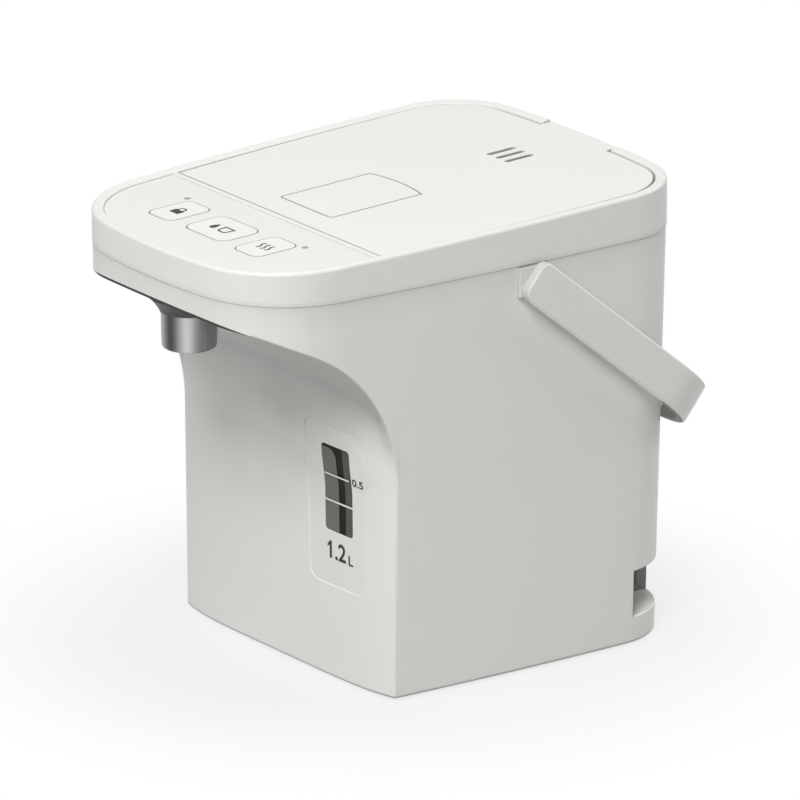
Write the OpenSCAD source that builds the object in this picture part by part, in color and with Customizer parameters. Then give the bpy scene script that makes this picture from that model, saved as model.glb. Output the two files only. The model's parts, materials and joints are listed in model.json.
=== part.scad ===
// Electric thermo pot with a pouring nose, a hinged lid and a swinging handle.
// Millimetres, +Z up. The nose points along -Y. The origin lies on the surface that
// the pot stands on, under the middle of its whole length. Distances in front and
// behind are counted from a cross line through the body.

/* [Body seen from above] */
// Widest width of the body at the seam
body_w = 178; // [176:0.5:184]
// Reach of the nose in front of the cross line
nose_reach = 159.6; // [156:0.2:164]
// Reach of the back behind the cross line
back_reach = 90.8; // [89:0.2:96]
// Place of the widest point behind the cross line
widest_y = 40; // [30:1:45]
// Radius of the nose's front bow
nose_bow_r = 313.6; // [280:1:360]
// Radius of the nose's corners
nose_corner_r = 49.7; // [44:0.5:54]
// Radius of the long side bows
side_bow_r = 1892; // [1500:10:2400]
// Radius of the back corners
back_corner_r = 37.1; // [34:0.5:40]
// Radius of the back's bow
back_bow_r = 600; // [500:10:800]

/* [Lower body] */
// Wall of the lower body and of the shoulder ring
shell_wall = 2.6; // [2:0.1:3]
// Height of the seam between the lower body and the shoulder ring
seam_z = 198.7; // [196:0.1:201]
// Height of the lower edge above the table
skirt_z = 1; // [0.6:0.1:1.3]
// How far the sides and the nose lean in from the seam to the table
side_lean = 3; // [2:0.1:4]
// How far the back leans in from the seam to the table
back_lean = 4.6; // [3:0.1:6]
// Step between the lower body and the overhanging ring
seam_step = 0.3; // [0.1:0.1:0.5]
// Distance of the front wall in front of the cross line, at the table
front_wall = 86.2; // [85.5:0.1:87]
// Forward lean of the front wall in degrees
front_lean = 0.83; // [0.5:0.01:1.1]
// Half width of the front wall's bow
front_bow_half = 80; // [78:0.5:81]
// How far the front wall's edges turn back
front_bow_depth = 4.4; // [4:0.1:5]
// How suddenly the front wall's edges turn back
front_bow_power = 5.2; // [4:0.1:7]
// Distance of the cove's foot in front of the cross line
cove_foot = 81.3; // [80.8:0.1:82]
// Height at which the cove starts to leave the front wall
cove_start_z = 102.8; // [98:0.5:108]
// Radius of the cove under the nose
cove_r = 79; // [76:0.5:81]
// Slope of the nose's underside in degrees
nose_ramp = 24.8; // [22:0.2:27]

/* [Shoulder ring] */
// Height of the rim's plane over the cross line
rim_z = 219.09; // [218.6:0.1:221]
// Slope of the rim's plane in degrees
rim_tilt = 1.62; // [1.4:0.02:1.8]
// Width of the rim
rim_w = 5.4; // [5:0.1:6.5]
// Height of the lid seat's floor
deck_z = 206; // [205.4:0.1:206.4]
// Thickness of the lid seat's floor
deck_t = 2.6; // [2.2:0.1:3]
// Place of the split between lid and control panel in front of the cross line
split_reach = 87; // [86:0.2:88]
// Width of the split
split_gap = 0.5; // [0.4:0.05:0.8]
// Half width of the hinge notch in the rim
notch_half = 26.6; // [24:0.2:30]
// Height of the sill under the hinge notch
notch_z = 209; // [208.6:0.1:209.2]

/* [Lid] */
// Height of the lid's plane over the cross line
lid_z = 217.85; // [217.6:0.05:218.2]
// Slope of the lid's plane in degrees
lid_tilt = 1.83; // [1.7:0.01:1.9]
// Gap between the lid and the rim
lid_gap = 0.5; // [0.4:0.05:0.8]
// Thickness of the lid's top
lid_top_t = 2.5; // [2:0.1:2.8]
// Thickness of the lid's side walls
lid_wall = 2.4; // [2:0.1:3]
// Gap between the lid and the floor of its seat
lid_seat_gap = 0.5; // [0.4:0.1:0.8]
// Distance of the hinge axis from the back of the body
hinge_in = 2.6; // [2.4:0.1:2.8]
// Height of the hinge axis
hinge_z = 215.5; // [215:0.1:216]
// Radius of the hinge pin
hinge_pin_r = 1.25; // [1:0.05:1.4]
// Radius of the lid's hinge knuckle
knuckle_r = 4.2; // [4:0.1:4.4]
// Half width of the lid's hinge knuckle
knuckle_half = 22; // [18:0.5:24]
// Thickness of the inner lid's plate and walls
inner_lid_t = 1.8; // [1.4:0.1:2]
// Radius of the plug that reaches into the vessel
plug_r = 57.5; // [55:0.5:57.5]
// Height of the plug's underside
plug_z = 183; // [178:0.5:188]
// Thickness of the steel sheet under the plug
shield_t = 0.8; // [0.5:0.1:1.2]

/* [Lid lever and latch] */
// Half width of the lever plate
lever_half = 19.6; // [17:0.2:22]
// Strip of the lid in front of the lever
lever_set = 15.4; // [15:0.2:17]
// Length of the lever plate
lever_len = 53.6; // [52:0.2:54.6]
// Bulge of the lever's back edge
lever_bulge = 2.5; // [1.5:0.1:3]
// Thickness of the lever plate
lever_t = 1.8; // [1.4:0.1:2]
// Gap around the lever plate
lever_gap = 0.5; // [0.4:0.05:0.7]
// Distance of the lever's axle from its back edge
lever_axle_in = 7; // [6:0.2:8]
// Depth of the lever's axle under the lid's plane
lever_axle_depth = 2.2; // [2.1:0.05:2.4]
// Radius of the lever's axle
lever_pin_r = 1; // [0.8:0.05:1.1]
// Half width of the latch tongue
latch_half = 12; // [9:0.5:14]
// Length of the latch tongue
latch_len = 9.2; // [8:0.1:9.6]
// Thickness of the latch tongue
latch_t = 3; // [2:0.1:3.2]

/* [Steam slots] */
// Number of steam slots
slot_n = 3; // [2:1:4]
// Place of the middle slot to the right of the lid's middle
slot_x = 0.9; // [-3:0.1:4]
// Distance between the slots
slot_pitch = 6.8; // [6:0.1:7]
// Width of a slot
slot_w = 2.4; // [2:0.1:3]
// Length of a slot
slot_len = 15.8; // [12:0.1:18]
// Place of the slots' middle behind the cross line
slot_y = 45.4; // [42:0.2:48]

/* [Control panel] */
// Thickness of the panel sheet
film_t = 0.5; // [0.4:0.05:0.7]
// Thickness of the deck under the sheet
panel_deck_t = 2.2; // [2:0.1:2.5]
// Strip of the ring between the split and the sheet
panel_strip = 3.3; // [3.2:0.1:4]
// Distance of the buttons in front of the cross line
button_reach = 119; // [118:0.2:120]
// Distance of the side buttons from the middle
button_pitch = 33.7; // [33:0.1:35]
// Width of the middle button
mid_button_w = 30.8; // [28:0.2:31]
// Depth of the middle button
mid_button_d = 23.2; // [21:0.2:24]
// Width of the side buttons
side_button_w = 18.6; // [17:0.2:19]
// Depth of the side buttons
side_button_d = 24.8; // [22:0.2:25]
// Corner radius of the middle button
mid_button_r = 5.5; // [4:0.1:6]
// Corner radius of the side buttons
side_button_r = 4.5; // [4:0.1:5]
// Height of the button tops over the sheet
button_rise = 0.6; // [0.3:0.1:0.8]
// Travel of the buttons
button_travel = 1; // [0.6:0.1:1.1]
// Gap around the buttons
button_gap = 0.3; // [0.2:0.05:0.4]
// Distance of the lamps in front of the cross line
lamp_reach = 105.7; // [104:0.2:107]
// Distance of the lamps from the middle
lamp_x = 46; // [45:0.2:50]
// Radius of the lamp lenses
lamp_r = 1.5; // [1:0.1:1.8]

/* [Water gauge] */
// Left edge of the gauge panel
gauge_left = 23.5; // [21:0.5:26]
// Right edge of the gauge panel
gauge_right = 64.4; // [62:0.2:65]
// Lower edge of the gauge panel
gauge_low = 46; // [42:0.5:52]
// Upper edge of the gauge panel
gauge_high = 125; // [121:0.5:126]
// Corner radius of the gauge panel
gauge_corner = 6; // [4:0.5:8]
// How deep the gauge panel lies under the wall's surface
gauge_sink = 0.4; // [0.2:0.05:0.6]
// Thickness of the gauge panel
gauge_t = 0.9; // [0.7:0.05:1.2]
// Left edge of the window
window_left = 35.3; // [33:0.5:37]
// Right edge of the window
window_right = 55.8; // [54:0.5:57]
// Lower edge of the window
window_low = 72.4; // [70:0.2:76]
// Upper edge of the window
window_high = 115; // [110:0.5:117]
// Corner radius of the window
window_corner = 2; // [1:0.5:3]

/* [Vessel] */
// Distance of the vessel's middle behind the cross line
vessel_y = 14; // [13:0.2:14.2]
// Inner radius of the vessel
vessel_r = 61; // [61:0.1:61.6]
// Wall of the vessel
vessel_wall = 1; // [0.6:0.1:1.2]
// Height of the vessel's floor
vessel_floor_z = 58; // [57.6:0.2:60]
// Width of the vessel's flange
flange_w = 7; // [6.6:0.1:7.4]
// Thickness of the mouth seal
mouth_seal_t = 2; // [1.6:0.1:2.2]
// Thickness of the insulation around the vessel
felt_t = 3; // [2:0.5:5]

/* [Heating and pump] */
// Radius of the heating plate
heater_r = 36; // [32:0.5:37]
// Thickness of the heating plate
heater_t = 2; // [1.5:0.1:2.5]
// Thickness of the clamp under the heating plate
clamp_t = 2.5; // [2:0.1:3]
// Place of the pump to the right of the middle
pump_x = 15; // [12:0.5:18]
// Place of the pump in front of the cross line
pump_reach = 28; // [27:0.5:31]
// Outer radius of the pump housing
pump_r = 18; // [17:0.5:19]
// Height of the pump housing's floor
pump_z = 31; // [30:0.5:32]
// Height of the pump housing
pump_h = 14; // [13:0.5:15]
// Wall of the pump housing
pump_wall = 2; // [1.6:0.1:2.2]
// Radius of the pump motor
motor_r = 12; // [11:0.5:13]
// Height of the pump motor
motor_h = 18; // [16:0.5:19]
// Radius of the motor shaft
shaft_r = 1.5; // [1.2:0.1:1.7]

/* [Water way] */
// Outer radius of the tubes
tube_r = 4.5; // [4:0.1:4.8]
// Wall of the tubes
tube_wall = 1.1; // [0.8:0.1:1.3]
// Place of the gauge tube to the right of the middle
riser_x = 44; // [42:0.5:46]
// Distance of the gauge tube in front of the cross line
riser_reach = 74; // [73:0.2:76]
// Height of the lower end of the gauge tube
riser_low = 46; // [45.5:0.5:50]
// Height of the spill valve's foot
valve_z = 150; // [146:1:154]
// Height of the spill valve
valve_h = 22; // [20:0.5:26]
// Outer radius of the spill valve
valve_r = 8; // [7.6:0.1:9]
// Radius of the valve ball
ball_r = 5; // [4.6:0.1:5.2]
// Height of the tube to the spout
outlet_z = 194; // [193.6:0.1:194.6]
// Distance of the spout in front of the cross line
spout_reach = 137.9; // [136:0.2:139]
// Outer radius of the spout sleeve
spout_r = 13.1; // [12:0.1:13.5]
// Wall of the spout sleeve
spout_wall = 1.5; // [1:0.1:2]
// Height of the spout sleeve's lower edge
spout_low = 161.7; // [159:0.1:165]
// Wall of the collar at its lower end
collar_lip = 0.6; // [0.5:0.1:1.2]
// Radius of the collar's upper end
collar_high_r = 19; // [18:0.1:21]
// Height of the collar's lower end
collar_low = 179.2; // [177:0.2:180]
// Height of the collar's flare
collar_h = 7; // [6:0.5:8]
// How suddenly the collar flares
collar_power = 1.6; // [1.2:0.1:2.4]

/* [Handle] */
// Distance of the handle's pivots in front of the cross line
pivot_reach = 6.4; // [5:0.2:9]
// Height of the handle's pivots
pivot_z = 190.1; // [189.5:0.1:191]
// Gap between the widest place of the body and the handle's arms
handle_side_gap = 1.5; // [1.3:0.1:5]
// Thickness of the handle strap
handle_t = 5; // [4:0.1:5.2]
// Width of the handle strap
strap_w = 20; // [16:0.5:21]
// Gap between the body's back and the resting handle
handle_back_gap = 0.8; // [0.5:0.1:5]
// Outer radius of the handle's corners
handle_corner = 38; // [30:0.5:40]
// Length of the strap past the pivots
strap_tail = 6.5; // [6:0.5:8]
// Corner radius of the strap's ends
tail_corner = 5; // [3:0.5:6]
// Angle of the resting handle below the level
rest_angle = 39.4; // [38.6:0.1:40]
// Radius of the handle's pivot pins
pivot_r = 4.5; // [4:0.1:4.8]
// Gap between the handle and its pads
pad_gap = 0.3; // [0.3:0.05:0.5]
// Width of the pads on the sides
pad_w = 20; // [18:0.2:22]
// Height of the pads' lower edge
pad_low = 184.2; // [182:0.2:185]

/* [Base] */
// Thickness of the base plate
base_t = 2.5; // [2:0.1:3]
// Height of the base plate above the table
base_z = 1.5; // [1.3:0.1:1.8]
// Radius of the rubber feet
foot_r = 7; // [6:0.5:9]
// Distance of the feet from the middle
foot_x = 62; // [56:1:66]
// Distance of the back feet behind the cross line
foot_back = 62; // [56:1:64]
// Distance of the front feet in front of the cross line
foot_front = 66; // [60:1:70]

/* [Power inlet] */
// Distance of the inlet recess's inner wall from the middle
recess_x = 57.5; // [56:0.5:60]
// Distance of the recess's front end behind the cross line
recess_y = 54; // [52:0.5:56]
// Height of the recess's floor
recess_low = 13.5; // [12:0.5:15]
// Height of the recess's ceiling
recess_high = 36; // [34:0.5:38]
// Wall of the recess
recess_wall = 2.4; // [2:0.1:3]
// Depth of the inlet block on the inner wall
inlet_t = 2.2; // [1.8:0.1:2.4]
// Width of the inlet block
inlet_w = 19; // [17:0.5:20]
// Height of the inlet block
inlet_h = 15; // [13:0.5:17]
// Radius of the inlet's pins
contact_r = 1.6; // [1:0.1:2]
// Distance between the inlet's pins
contact_pitch = 9; // [8:0.2:10]

/* [Hidden] */

// Smoothness of round pieces
$fn = 96;
// Straight pieces per arc of the body's outline
arc_n = 8;
// Running clearance of shafts and pins, on the radius
fit = 0.05;
// Clearance of parts that are screwed or pushed together
slack = 0.3;
// Overlap of cutting shapes past the faces that they cut
past = 1;
// A length beyond the whole object
big = 400;

// Distance of the cross line behind the origin
home_y = 27.03;

half_w = body_w / 2;
handle_w = body_w + 2 * (handle_side_gap + handle_t);
lever_front = split_reach - lever_set;
lever_back = lever_front - lever_len;
lever_axle = lever_back + lever_axle_in;
pot_white = [0.93, 0.92, 0.90];
inner_white = [0.86, 0.86, 0.84];
steel = [0.72, 0.72, 0.73];
dark = [0.22, 0.22, 0.23];
grey = [0.45, 0.46, 0.47];
copper = [0.72, 0.45, 0.25];

// ---- the outline of the body, as arcs that run into each other ----

function unit(v) = v / norm(v);

// One of the two points where circles about c1 and c2 meet
function meet(c1, r1, c2, r2, side) =
    let (d = c2 - c1, len = norm(d), u = d / len,
         along = (r1 * r1 - r2 * r2 + len * len) / (2 * len),
         off = sqrt(r1 * r1 - along * along))
    c1 + along * u + side * off * [-u[1], u[0]];

function front_one(p, q) = p[1] < q[1] ? p : q;
function back_one(p, q) = p[1] > q[1] ? p : q;

// Points on an arc about c from the direction of p to that of q
function arc(c, r, p, q) =
    let (a = atan2(p[1] - c[1], p[0] - c[0]), b = atan2(q[1] - c[1], q[0] - c[0]))
    [for (i = [0 : arc_n]) c + r * [cos(a + (b - a) * i / arc_n), sin(a + (b - a) * i / arc_n)]];

// Right half of the outline, from the nose's tip to the back, moved inwards
function half_plan(side_in, back_in) =
    let (rn = nose_corner_r - side_in, rb = back_corner_r - side_in,
         big_n = nose_bow_r - side_in, big_s = side_bow_r - side_in,
         big_b = back_bow_r - side_in,
         cn = [0, nose_bow_r - nose_reach], cs = [half_w - side_bow_r, widest_y],
         cb = [0, back_reach - back_in - big_b],
         nose = front_one(meet(cn, big_n - rn, cs, big_s - rn, 1),
                          meet(cn, big_n - rn, cs, big_s - rn, -1)),
         rear = back_one(meet(cs, big_s - rb, cb, big_b - rb, 1),
                         meet(cs, big_s - rb, cb, big_b - rb, -1)),
         a = cn + big_n * unit(nose - cn), b = cs + big_s * unit(nose - cs),
         c = cs + big_s * unit(rear - cs), d = cb + big_b * unit(rear - cb))
    concat(arc(cn, big_n, cn - [0, 1], a), arc(nose, rn, a, b), arc(cs, big_s, b, c),
           arc(rear, rb, c, d), arc(cb, big_b, d, cb + [0, 1]));

// Points of the right back corner of the outline
function corner_points(i) =
    [for (p = half_plan(i, i)) if (p[1] > widest_y && p[0] > notch_half) p];

// Closed outline of the body, inset by one value at the sides and one at the back
module plan(side_in, back_in) {
    right = half_plan(side_in, back_in);
    n = len(right);
    polygon(concat(right, [for (k = [n - 2 : -1 : 1]) [-right[k][0], right[k][1]]]));
}

module even_plan(i) plan(i, i);

// Part of an outline behind y0 and in front of y1
module between_y(y0, y1) {
    intersection() {
        children();
        translate([-big, y0]) square([2 * big, y1 - y0]);
    }
}

// Rectangle with rounded corners about the origin
module soft_rect(w, d, r) {
    square([w - 2 * r, d], center = true);
    square([w, d - 2 * r], center = true);
    for (sx = [-1, 1], sy = [-1, 1])
        translate([sx * (w / 2 - r), sy * (d / 2 - r)]) circle(r);
}

// Children placed on the sloping plane of the lid and the control panel
module on_lid() translate([0, 0, lid_z]) rotate([lid_tilt, 0, 0]) children();

// Everything above the lid's plane, raised by up
module above_lid(up) on_lid() translate([-big, -big, up]) cube([2 * big, 2 * big, big]);

// Everything above the rim's plane
module above_rim()
    translate([0, 0, rim_z]) rotate([rim_tilt, 0, 0])
        translate([-big, -big, 0]) cube([2 * big, 2 * big, big]);

module tube(r, wall, h) {
    difference() {
        cylinder(r = r, h = h);
        translate([0, 0, -past]) cylinder(r = r - wall, h = h + 2 * past);
    }
}

// The finished piece, moved from the cross line to the origin
module home() translate([0, home_y, 0]) children();

module along_x(x) translate([x, 0, 0]) rotate([0, 90, 0]) children();

// ---- lower body ----

// Tapered body with its nose, inset by i, down to the height z0
module tapered_body(i, z0) {
    lean_share = (seam_z - z0) / (seam_z - skirt_z);
    hull() {
        translate([0, 0, seam_z - 0.01])
            linear_extrude(0.01) even_plan(seam_step + i);
        translate([0, 0, z0])
            linear_extrude(0.01)
                plan(seam_step + i + side_lean * lean_share,
                     seam_step + i + back_lean * lean_share);
    }
}

// Free space under the nose, in the plane of y and z, with its walls moved by i
module cup_bay_profile(i) {
    cy = -cove_foot - cove_r;
    r = cove_r + i;
    turn = 90 - nose_ramp;
    tip_y = -nose_reach - 20;
    end = [cy + r * cos(turn), cove_start_z + r * sin(turn)];
    polygon(concat(
        [[tip_y, -past], [cy + r, -past]],
        [for (k = [0 : 14]) [cy + r * cos(turn * k / 14), cove_start_z + r * sin(turn * k / 14)]],
        [[tip_y, end[1] + (end[0] - tip_y) * tan(nose_ramp)]]));
}

module cup_bay(i) {
    rotate([90, 0, 90]) translate([0, 0, -big / 2]) linear_extrude(big) cup_bay_profile(i);
}

// How far the front wall turns back at x
function front_bow(x) = front_bow_depth * pow(abs(x) / front_bow_half, front_bow_power);

// Bowed and leaning front wall as a solid, inset by i
module front_column(i, z0, z1) {
    edge = front_bow_half + 1 - i;
    steps = 20;
    translate([0, 0, z0]) rotate([front_lean, 0, 0])
        linear_extrude(z1 - z0)
            polygon(concat(
                [for (k = [-steps : steps])
                    let (x = edge * k / steps)
                    [x, i - front_wall - z0 * tan(front_lean) + front_bow(x)]],
                [[edge, -front_wall + 30 + i], [-edge, -front_wall + 30 + i]]));
}

column_top = cove_start_z + 47;

module body_solid(i, z0) {
    difference() {
        tapered_body(i, z0);
        cup_bay(i);
    }
    front_column(i, z0, column_top);
}

// Box of the inlet recess, grown by g on its closed sides
module recess_box(g) {
    translate([recess_x - g, recess_y - g, recess_low - g])
        cube([big, big, recess_high - recess_low + 2 * g]);
}

pad_face = handle_w / 2 - handle_t - pad_gap;
boss_in = 84;
screw_boss_r = 4;
screw_y = [-60, 40];
screw_places = [for (side = [-1, 1], y = screw_y)
    [side * (base_half(y) - shell_wall - screw_boss_r + 0.6), y]];
screw_boss_top = 16;
screw_r = 1.5;

// Half width of the body at the base, at the place y
function base_half(y) =
    half_w - side_lean - seam_step - pow(y - widest_y, 2) / (2 * side_bow_r);

module pivot_place(side) translate([0, -pivot_reach, pivot_z]) rotate([0, side * 90, 0]) children();

module outer_shell() {
    home() color(pot_white)
    difference() {
        union() {
            difference() {
                body_solid(0, skirt_z);
                body_solid(shell_wall, skirt_z - past);
                translate([-big / 2, -big / 2, seam_z - 0.005]) cube([big, big, past]);
                translate([-big / 2, -big / 2, skirt_z - big]) cube(big);
            }
            intersection() {
                tapered_body(0, skirt_z);
                recess_box(recess_wall);
            }
            for (side = [-1, 1]) {
                pivot_place(side) translate([0, 0, boss_in])
                    cylinder(r = pivot_r + 1.5, h = half_w - boss_in - 2);
                x0 = half_w - shell_wall - 1.5;
                translate([side > 0 ? x0 : -pad_face, -pivot_reach - pad_w / 2, pad_low])
                    cube([pad_face - x0, pad_w, seam_z - slack - pad_low]);
            }
            for (p = screw_places)
                translate([p[0], p[1], base_z + base_t]) cylinder(r = screw_boss_r, h = screw_boss_top);
        }
        recess_box(0);
        for (side = [-1, 1])
            pivot_place(side) translate([0, 0, boss_in - past])
                cylinder(r = pivot_r + fit, h = big / 8);
        for (p = screw_places)
            translate([p[0], p[1], 0]) cylinder(r = screw_r, h = screw_boss_top);
        translate([0, -spout_reach, spout_low - past]) cylinder(r = spout_r + fit, h = 40);
        gauge_prism(0) gauge_outline(slack / 3, gauge_corner);
        window_prism() window_outline(slack / 3);
        translate([recess_x - recess_wall - past, inlet_mid_y, inlet_mid_z])
            rotate([90, 0, 90]) linear_extrude(recess_wall + 2 * past)
                square([contact_pitch + 6, 6], center = true);
    }
}

// ---- water gauge ----

gauge_mid = [(gauge_left + gauge_right) / 2, (gauge_low + gauge_high) / 2];
window_mid = [(window_left + window_right) / 2, (window_low + window_high) / 2];

module gauge_outline(grow, r)
    translate(gauge_mid)
        soft_rect(gauge_right - gauge_left + 2 * grow, gauge_high - gauge_low + 2 * grow, r);

module window_outline(grow)
    translate(window_mid)
        soft_rect(window_right - window_left + 2 * grow, window_high - window_low + 2 * grow,
                  window_corner);

// Layer of the front wall from outer to inner depth
module front_layer(outer, inner) {
    difference() {
        front_column(outer, skirt_z, column_top);
        front_column(inner, skirt_z - past, column_top + past);
    }
}

// A flat outline pushed through the front wall, from the outside to the depth
module gauge_prism(extra) {
    intersection() {
        rotate([90, 0, 0]) linear_extrude(big / 2) children();
        front_layer(-2, gauge_sink + gauge_t + extra);
    }
}

module window_prism()
    rotate([90, 0, 0]) translate([0, 0, front_wall - 20]) linear_extrude(40) children();

module gauge_panel() {
    home() color(inner_white)
    difference() {
        intersection() {
            rotate([90, 0, 0]) linear_extrude(big / 2) gauge_outline(0, gauge_corner);
            front_layer(gauge_sink, gauge_sink + gauge_t);
        }
        window_prism() window_outline(slack / 3);
    }
}

module gauge_window() {
    home() color([0.75, 0.8, 0.82, 0.5])
    intersection() {
        window_prism() window_outline(0);
        front_layer(gauge_sink, shell_wall);
    }
}

riser_place = [riser_x, -riser_reach, 0];

module gauge_tube() {
    home() color([0.8, 0.85, 0.88, 0.4])
    translate(riser_place + [0, 0, riser_low]) tube(tube_r, tube_wall, valve_z - riser_low);
}

// ---- shoulder ring ----

deck_under = deck_z - deck_t;
hinge_y = back_reach - hinge_in;
panel_back = -split_reach - panel_strip;
panel_edge = rim_w + slack;
board_drop = 12;
board_t = 1.6;
board_half = 54;
board_post_x = 50;
board_post_y = [-125, -112];
board_post_r = 3;
board_screw_r = 1.2;
mouth_r = vessel_r + vessel_wall;
mouth_screw_n = 4;
mouth_screw_ring = mouth_r + flange_w / 2 + 0.5;

button_x = [-button_pitch, 0, button_pitch];
button_w = [side_button_w, mid_button_w, side_button_w];
button_d = [side_button_d, mid_button_d, side_button_d];
button_r = [side_button_r, mid_button_r, side_button_r];

module button_outline(k, grow)
    translate([button_x[k], -button_reach])
        soft_rect(button_w[k] + 2 * grow, button_d[k] + 2 * grow, button_r[k] + grow);

module lamp_places() for (side = [-1, 1]) translate([side * lamp_x, -lamp_reach]) children();

module board_post_places()
    for (side = [-1, 1], y = board_post_y) translate([side * board_post_x, y]) children();

module mouth_screw_places()
    for (k = [0 : mouth_screw_n - 1])
        rotate([0, 0, 45 + 360 / mouth_screw_n * k]) translate([mouth_screw_ring, 0]) children();

module shoulder_ring() {
    home() color(pot_white)
    difference() {
        union() {
            difference() {
                translate([0, 0, seam_z]) linear_extrude(40) even_plan(0);
                above_rim();
                // room under the lid seat
                translate([0, 0, seam_z - past])
                    linear_extrude(deck_under - seam_z + past)
                        between_y(-split_reach - shell_wall, big) even_plan(shell_wall);
                // room under the control panel
                difference() {
                    translate([0, 0, seam_z - past])
                        linear_extrude(40)
                            between_y(-big, -split_reach - shell_wall) even_plan(shell_wall);
                    above_lid(-film_t - panel_deck_t);
                }
                // seat of the lid
                translate([0, 0, deck_z])
                    linear_extrude(40)
                        between_y(-split_reach - split_gap / 2, big) even_plan(rim_w);
                // step down to the control panel
                intersection() {
                    translate([0, 0, deck_z])
                        linear_extrude(40) between_y(-big, -split_reach) even_plan(rim_w);
                    above_lid(0);
                }
                // seat of the panel sheet
                intersection() {
                    translate([0, 0, deck_z])
                        linear_extrude(40) between_y(-big, panel_back) even_plan(rim_w);
                    above_lid(-film_t);
                }
            }
            on_lid() translate([0, 0, -board_drop]) linear_extrude(board_drop - film_t)
                board_post_places() circle(board_post_r);
        }
        // mouth over the vessel
        translate([0, vessel_y, deck_under - past]) cylinder(r = mouth_r, h = 20);
        translate([0, vessel_y, deck_under - past])
            linear_extrude(deck_t - 0.6 + past) mouth_screw_places() circle(screw_r);
        // notch and bore of the lid hinge
        translate([-notch_half, hinge_y - 8, notch_z]) cube([2 * notch_half, 20, 30]);
        translate([0, hinge_y, hinge_z]) rotate([0, 90, 0])
            cylinder(r = hinge_pin_r + fit, h = 2 * hinge_pin_half, center = true);
        // strike of the latch
        translate([-latch_half - past, -split_reach - 2, latch_z - slack])
            cube([2 * (latch_half + past), 4, latch_t + 2 * slack]);
        // buttons, lamps and board screws
        on_lid() translate([0, 0, -8]) linear_extrude(10) {
            for (k = [0 : 2]) button_outline(k, button_gap);
            lamp_places() circle(lamp_r + fit);
        }
        on_lid() translate([0, 0, -board_drop - past])
            linear_extrude(board_drop - film_t - 1) board_post_places() circle(board_screw_r);
    }
}

module control_panel() {
    home() color(pot_white)
    on_lid() translate([0, 0, -film_t])
        linear_extrude(film_t)
            difference() {
                between_y(-big, panel_back - slack) even_plan(panel_edge);
                for (k = [0 : 2]) button_outline(k, button_gap);
                lamp_places() circle(lamp_r + fit);
            }
}

module lamp_lenses() {
    home() color([0.9, 0.55, 0.3])
    on_lid() translate([0, 0, -film_t - panel_deck_t]) linear_extrude(film_t + panel_deck_t)
        lamp_places() circle(lamp_r);
}

board_low = -button_reach - 11;
board_high = -button_reach + 15;

module control_board() {
    home() color([0.2, 0.42, 0.25])
    on_lid() translate([0, 0, -board_drop - board_t])
        linear_extrude(board_t)
            difference() {
                translate([-board_half, board_low]) square([2 * board_half, board_high - board_low]);
                board_post_places() circle(board_screw_r);
            }
}

deck_low = -film_t - panel_deck_t;
flange_t = 1.2;
stem_end = deck_low - slack - flange_t - 3.2;
switch_gap = 0.05;

module tact_switches() {
    home() color(dark)
    on_lid() for (x = button_x) translate([x, -button_reach, -board_drop]) {
        plunger = board_drop + stem_end - button_travel - switch_gap;
        translate([-3, -3, 0]) cube([6, 6, plunger - 0.4]);
        cylinder(r = 1.75, h = plunger);
    }
}

module board_screws() {
    home() color(steel)
    on_lid() board_post_places() {
        translate([0, 0, -board_drop - board_t - 1.5]) cylinder(r = 2.5, h = 1.5);
        translate([0, 0, -board_drop - board_t]) cylinder(r = board_screw_r, h = board_t + 6);
    }
}

// Button number k: cap, retaining flange and stem
module button(k) {
    on_lid() {
        translate([0, 0, deck_low - slack]) linear_extrude(button_rise - deck_low + slack)
            button_outline(k, 0);
        translate([0, 0, deck_low - slack - flange_t]) linear_extrude(flange_t)
            button_outline(k, button_gap + 0.9);
        translate([button_x[k], -button_reach, stem_end])
            cylinder(r = 2.2, h = deck_low - slack - flange_t - stem_end);
    }
}

module button_left() home() color(inner_white) button(0);
module button_centre() home() color(inner_white) button(1);
module button_right() home() color(inner_white) button(2);

// ---- vessel and its seals ----

flange_z = deck_under - mouth_seal_t;
vessel_out = vessel_r + vessel_wall;
vessel_under = vessel_floor_z - vessel_wall;
flange_r = vessel_out + flange_w;
drain_r = tube_r - tube_wall;

module vessel() {
    home() color(steel)
    difference() {
        translate([0, vessel_y, 0]) rotate_extrude() difference() {
            union() {
                translate([0, vessel_under]) square([vessel_out, flange_z - vessel_under]);
                translate([0, flange_z - vessel_wall]) square([flange_r, vessel_wall]);
            }
            translate([0, vessel_floor_z]) square([vessel_r, big]);
        }
        translate([pump_x, -pump_reach, vessel_under - past]) cylinder(r = drain_r, h = 4);
        translate([0, vessel_y, flange_z - 3]) linear_extrude(5)
            mouth_screw_places() circle(screw_r);
    }
}

module mouth_seal() {
    home() color([0.8, 0.8, 0.78])
    translate([0, vessel_y, flange_z]) linear_extrude(mouth_seal_t) difference() {
        circle(flange_r);
        circle(vessel_out - 0.5);
        mouth_screw_places() circle(screw_r);
    }
}

module mouth_screws() {
    home() color(steel)
    translate([0, vessel_y, 0]) mouth_screw_places() {
        translate([0, 0, flange_z - vessel_wall - 1.8]) cylinder(r = 2.6, h = 1.8);
        translate([0, 0, flange_z - vessel_wall])
            cylinder(r = screw_r, h = vessel_wall + mouth_seal_t + deck_t - 1);
    }
}

module insulation() {
    home() color([0.85, 0.84, 0.8])
    translate([0, vessel_y, vessel_floor_z + 4])
        tube(vessel_out + slack + felt_t, felt_t, flange_z - vessel_floor_z - 10);
}

// ---- heating ----

heater_under = vessel_under - heater_t;
clamp_under = heater_under - clamp_t;
thermostat_r = 8;
thermostat_h = 8;
terminal_x = 4;
terminal_r = 1;
terminal_h = 4;
fuse_x = -24;
fuse_r = 2.5;
fuse_len = 20;

module heater_plate() {
    home() color(copper)
    translate([0, vessel_y, heater_under]) cylinder(r = heater_r, h = heater_t);
}

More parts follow.
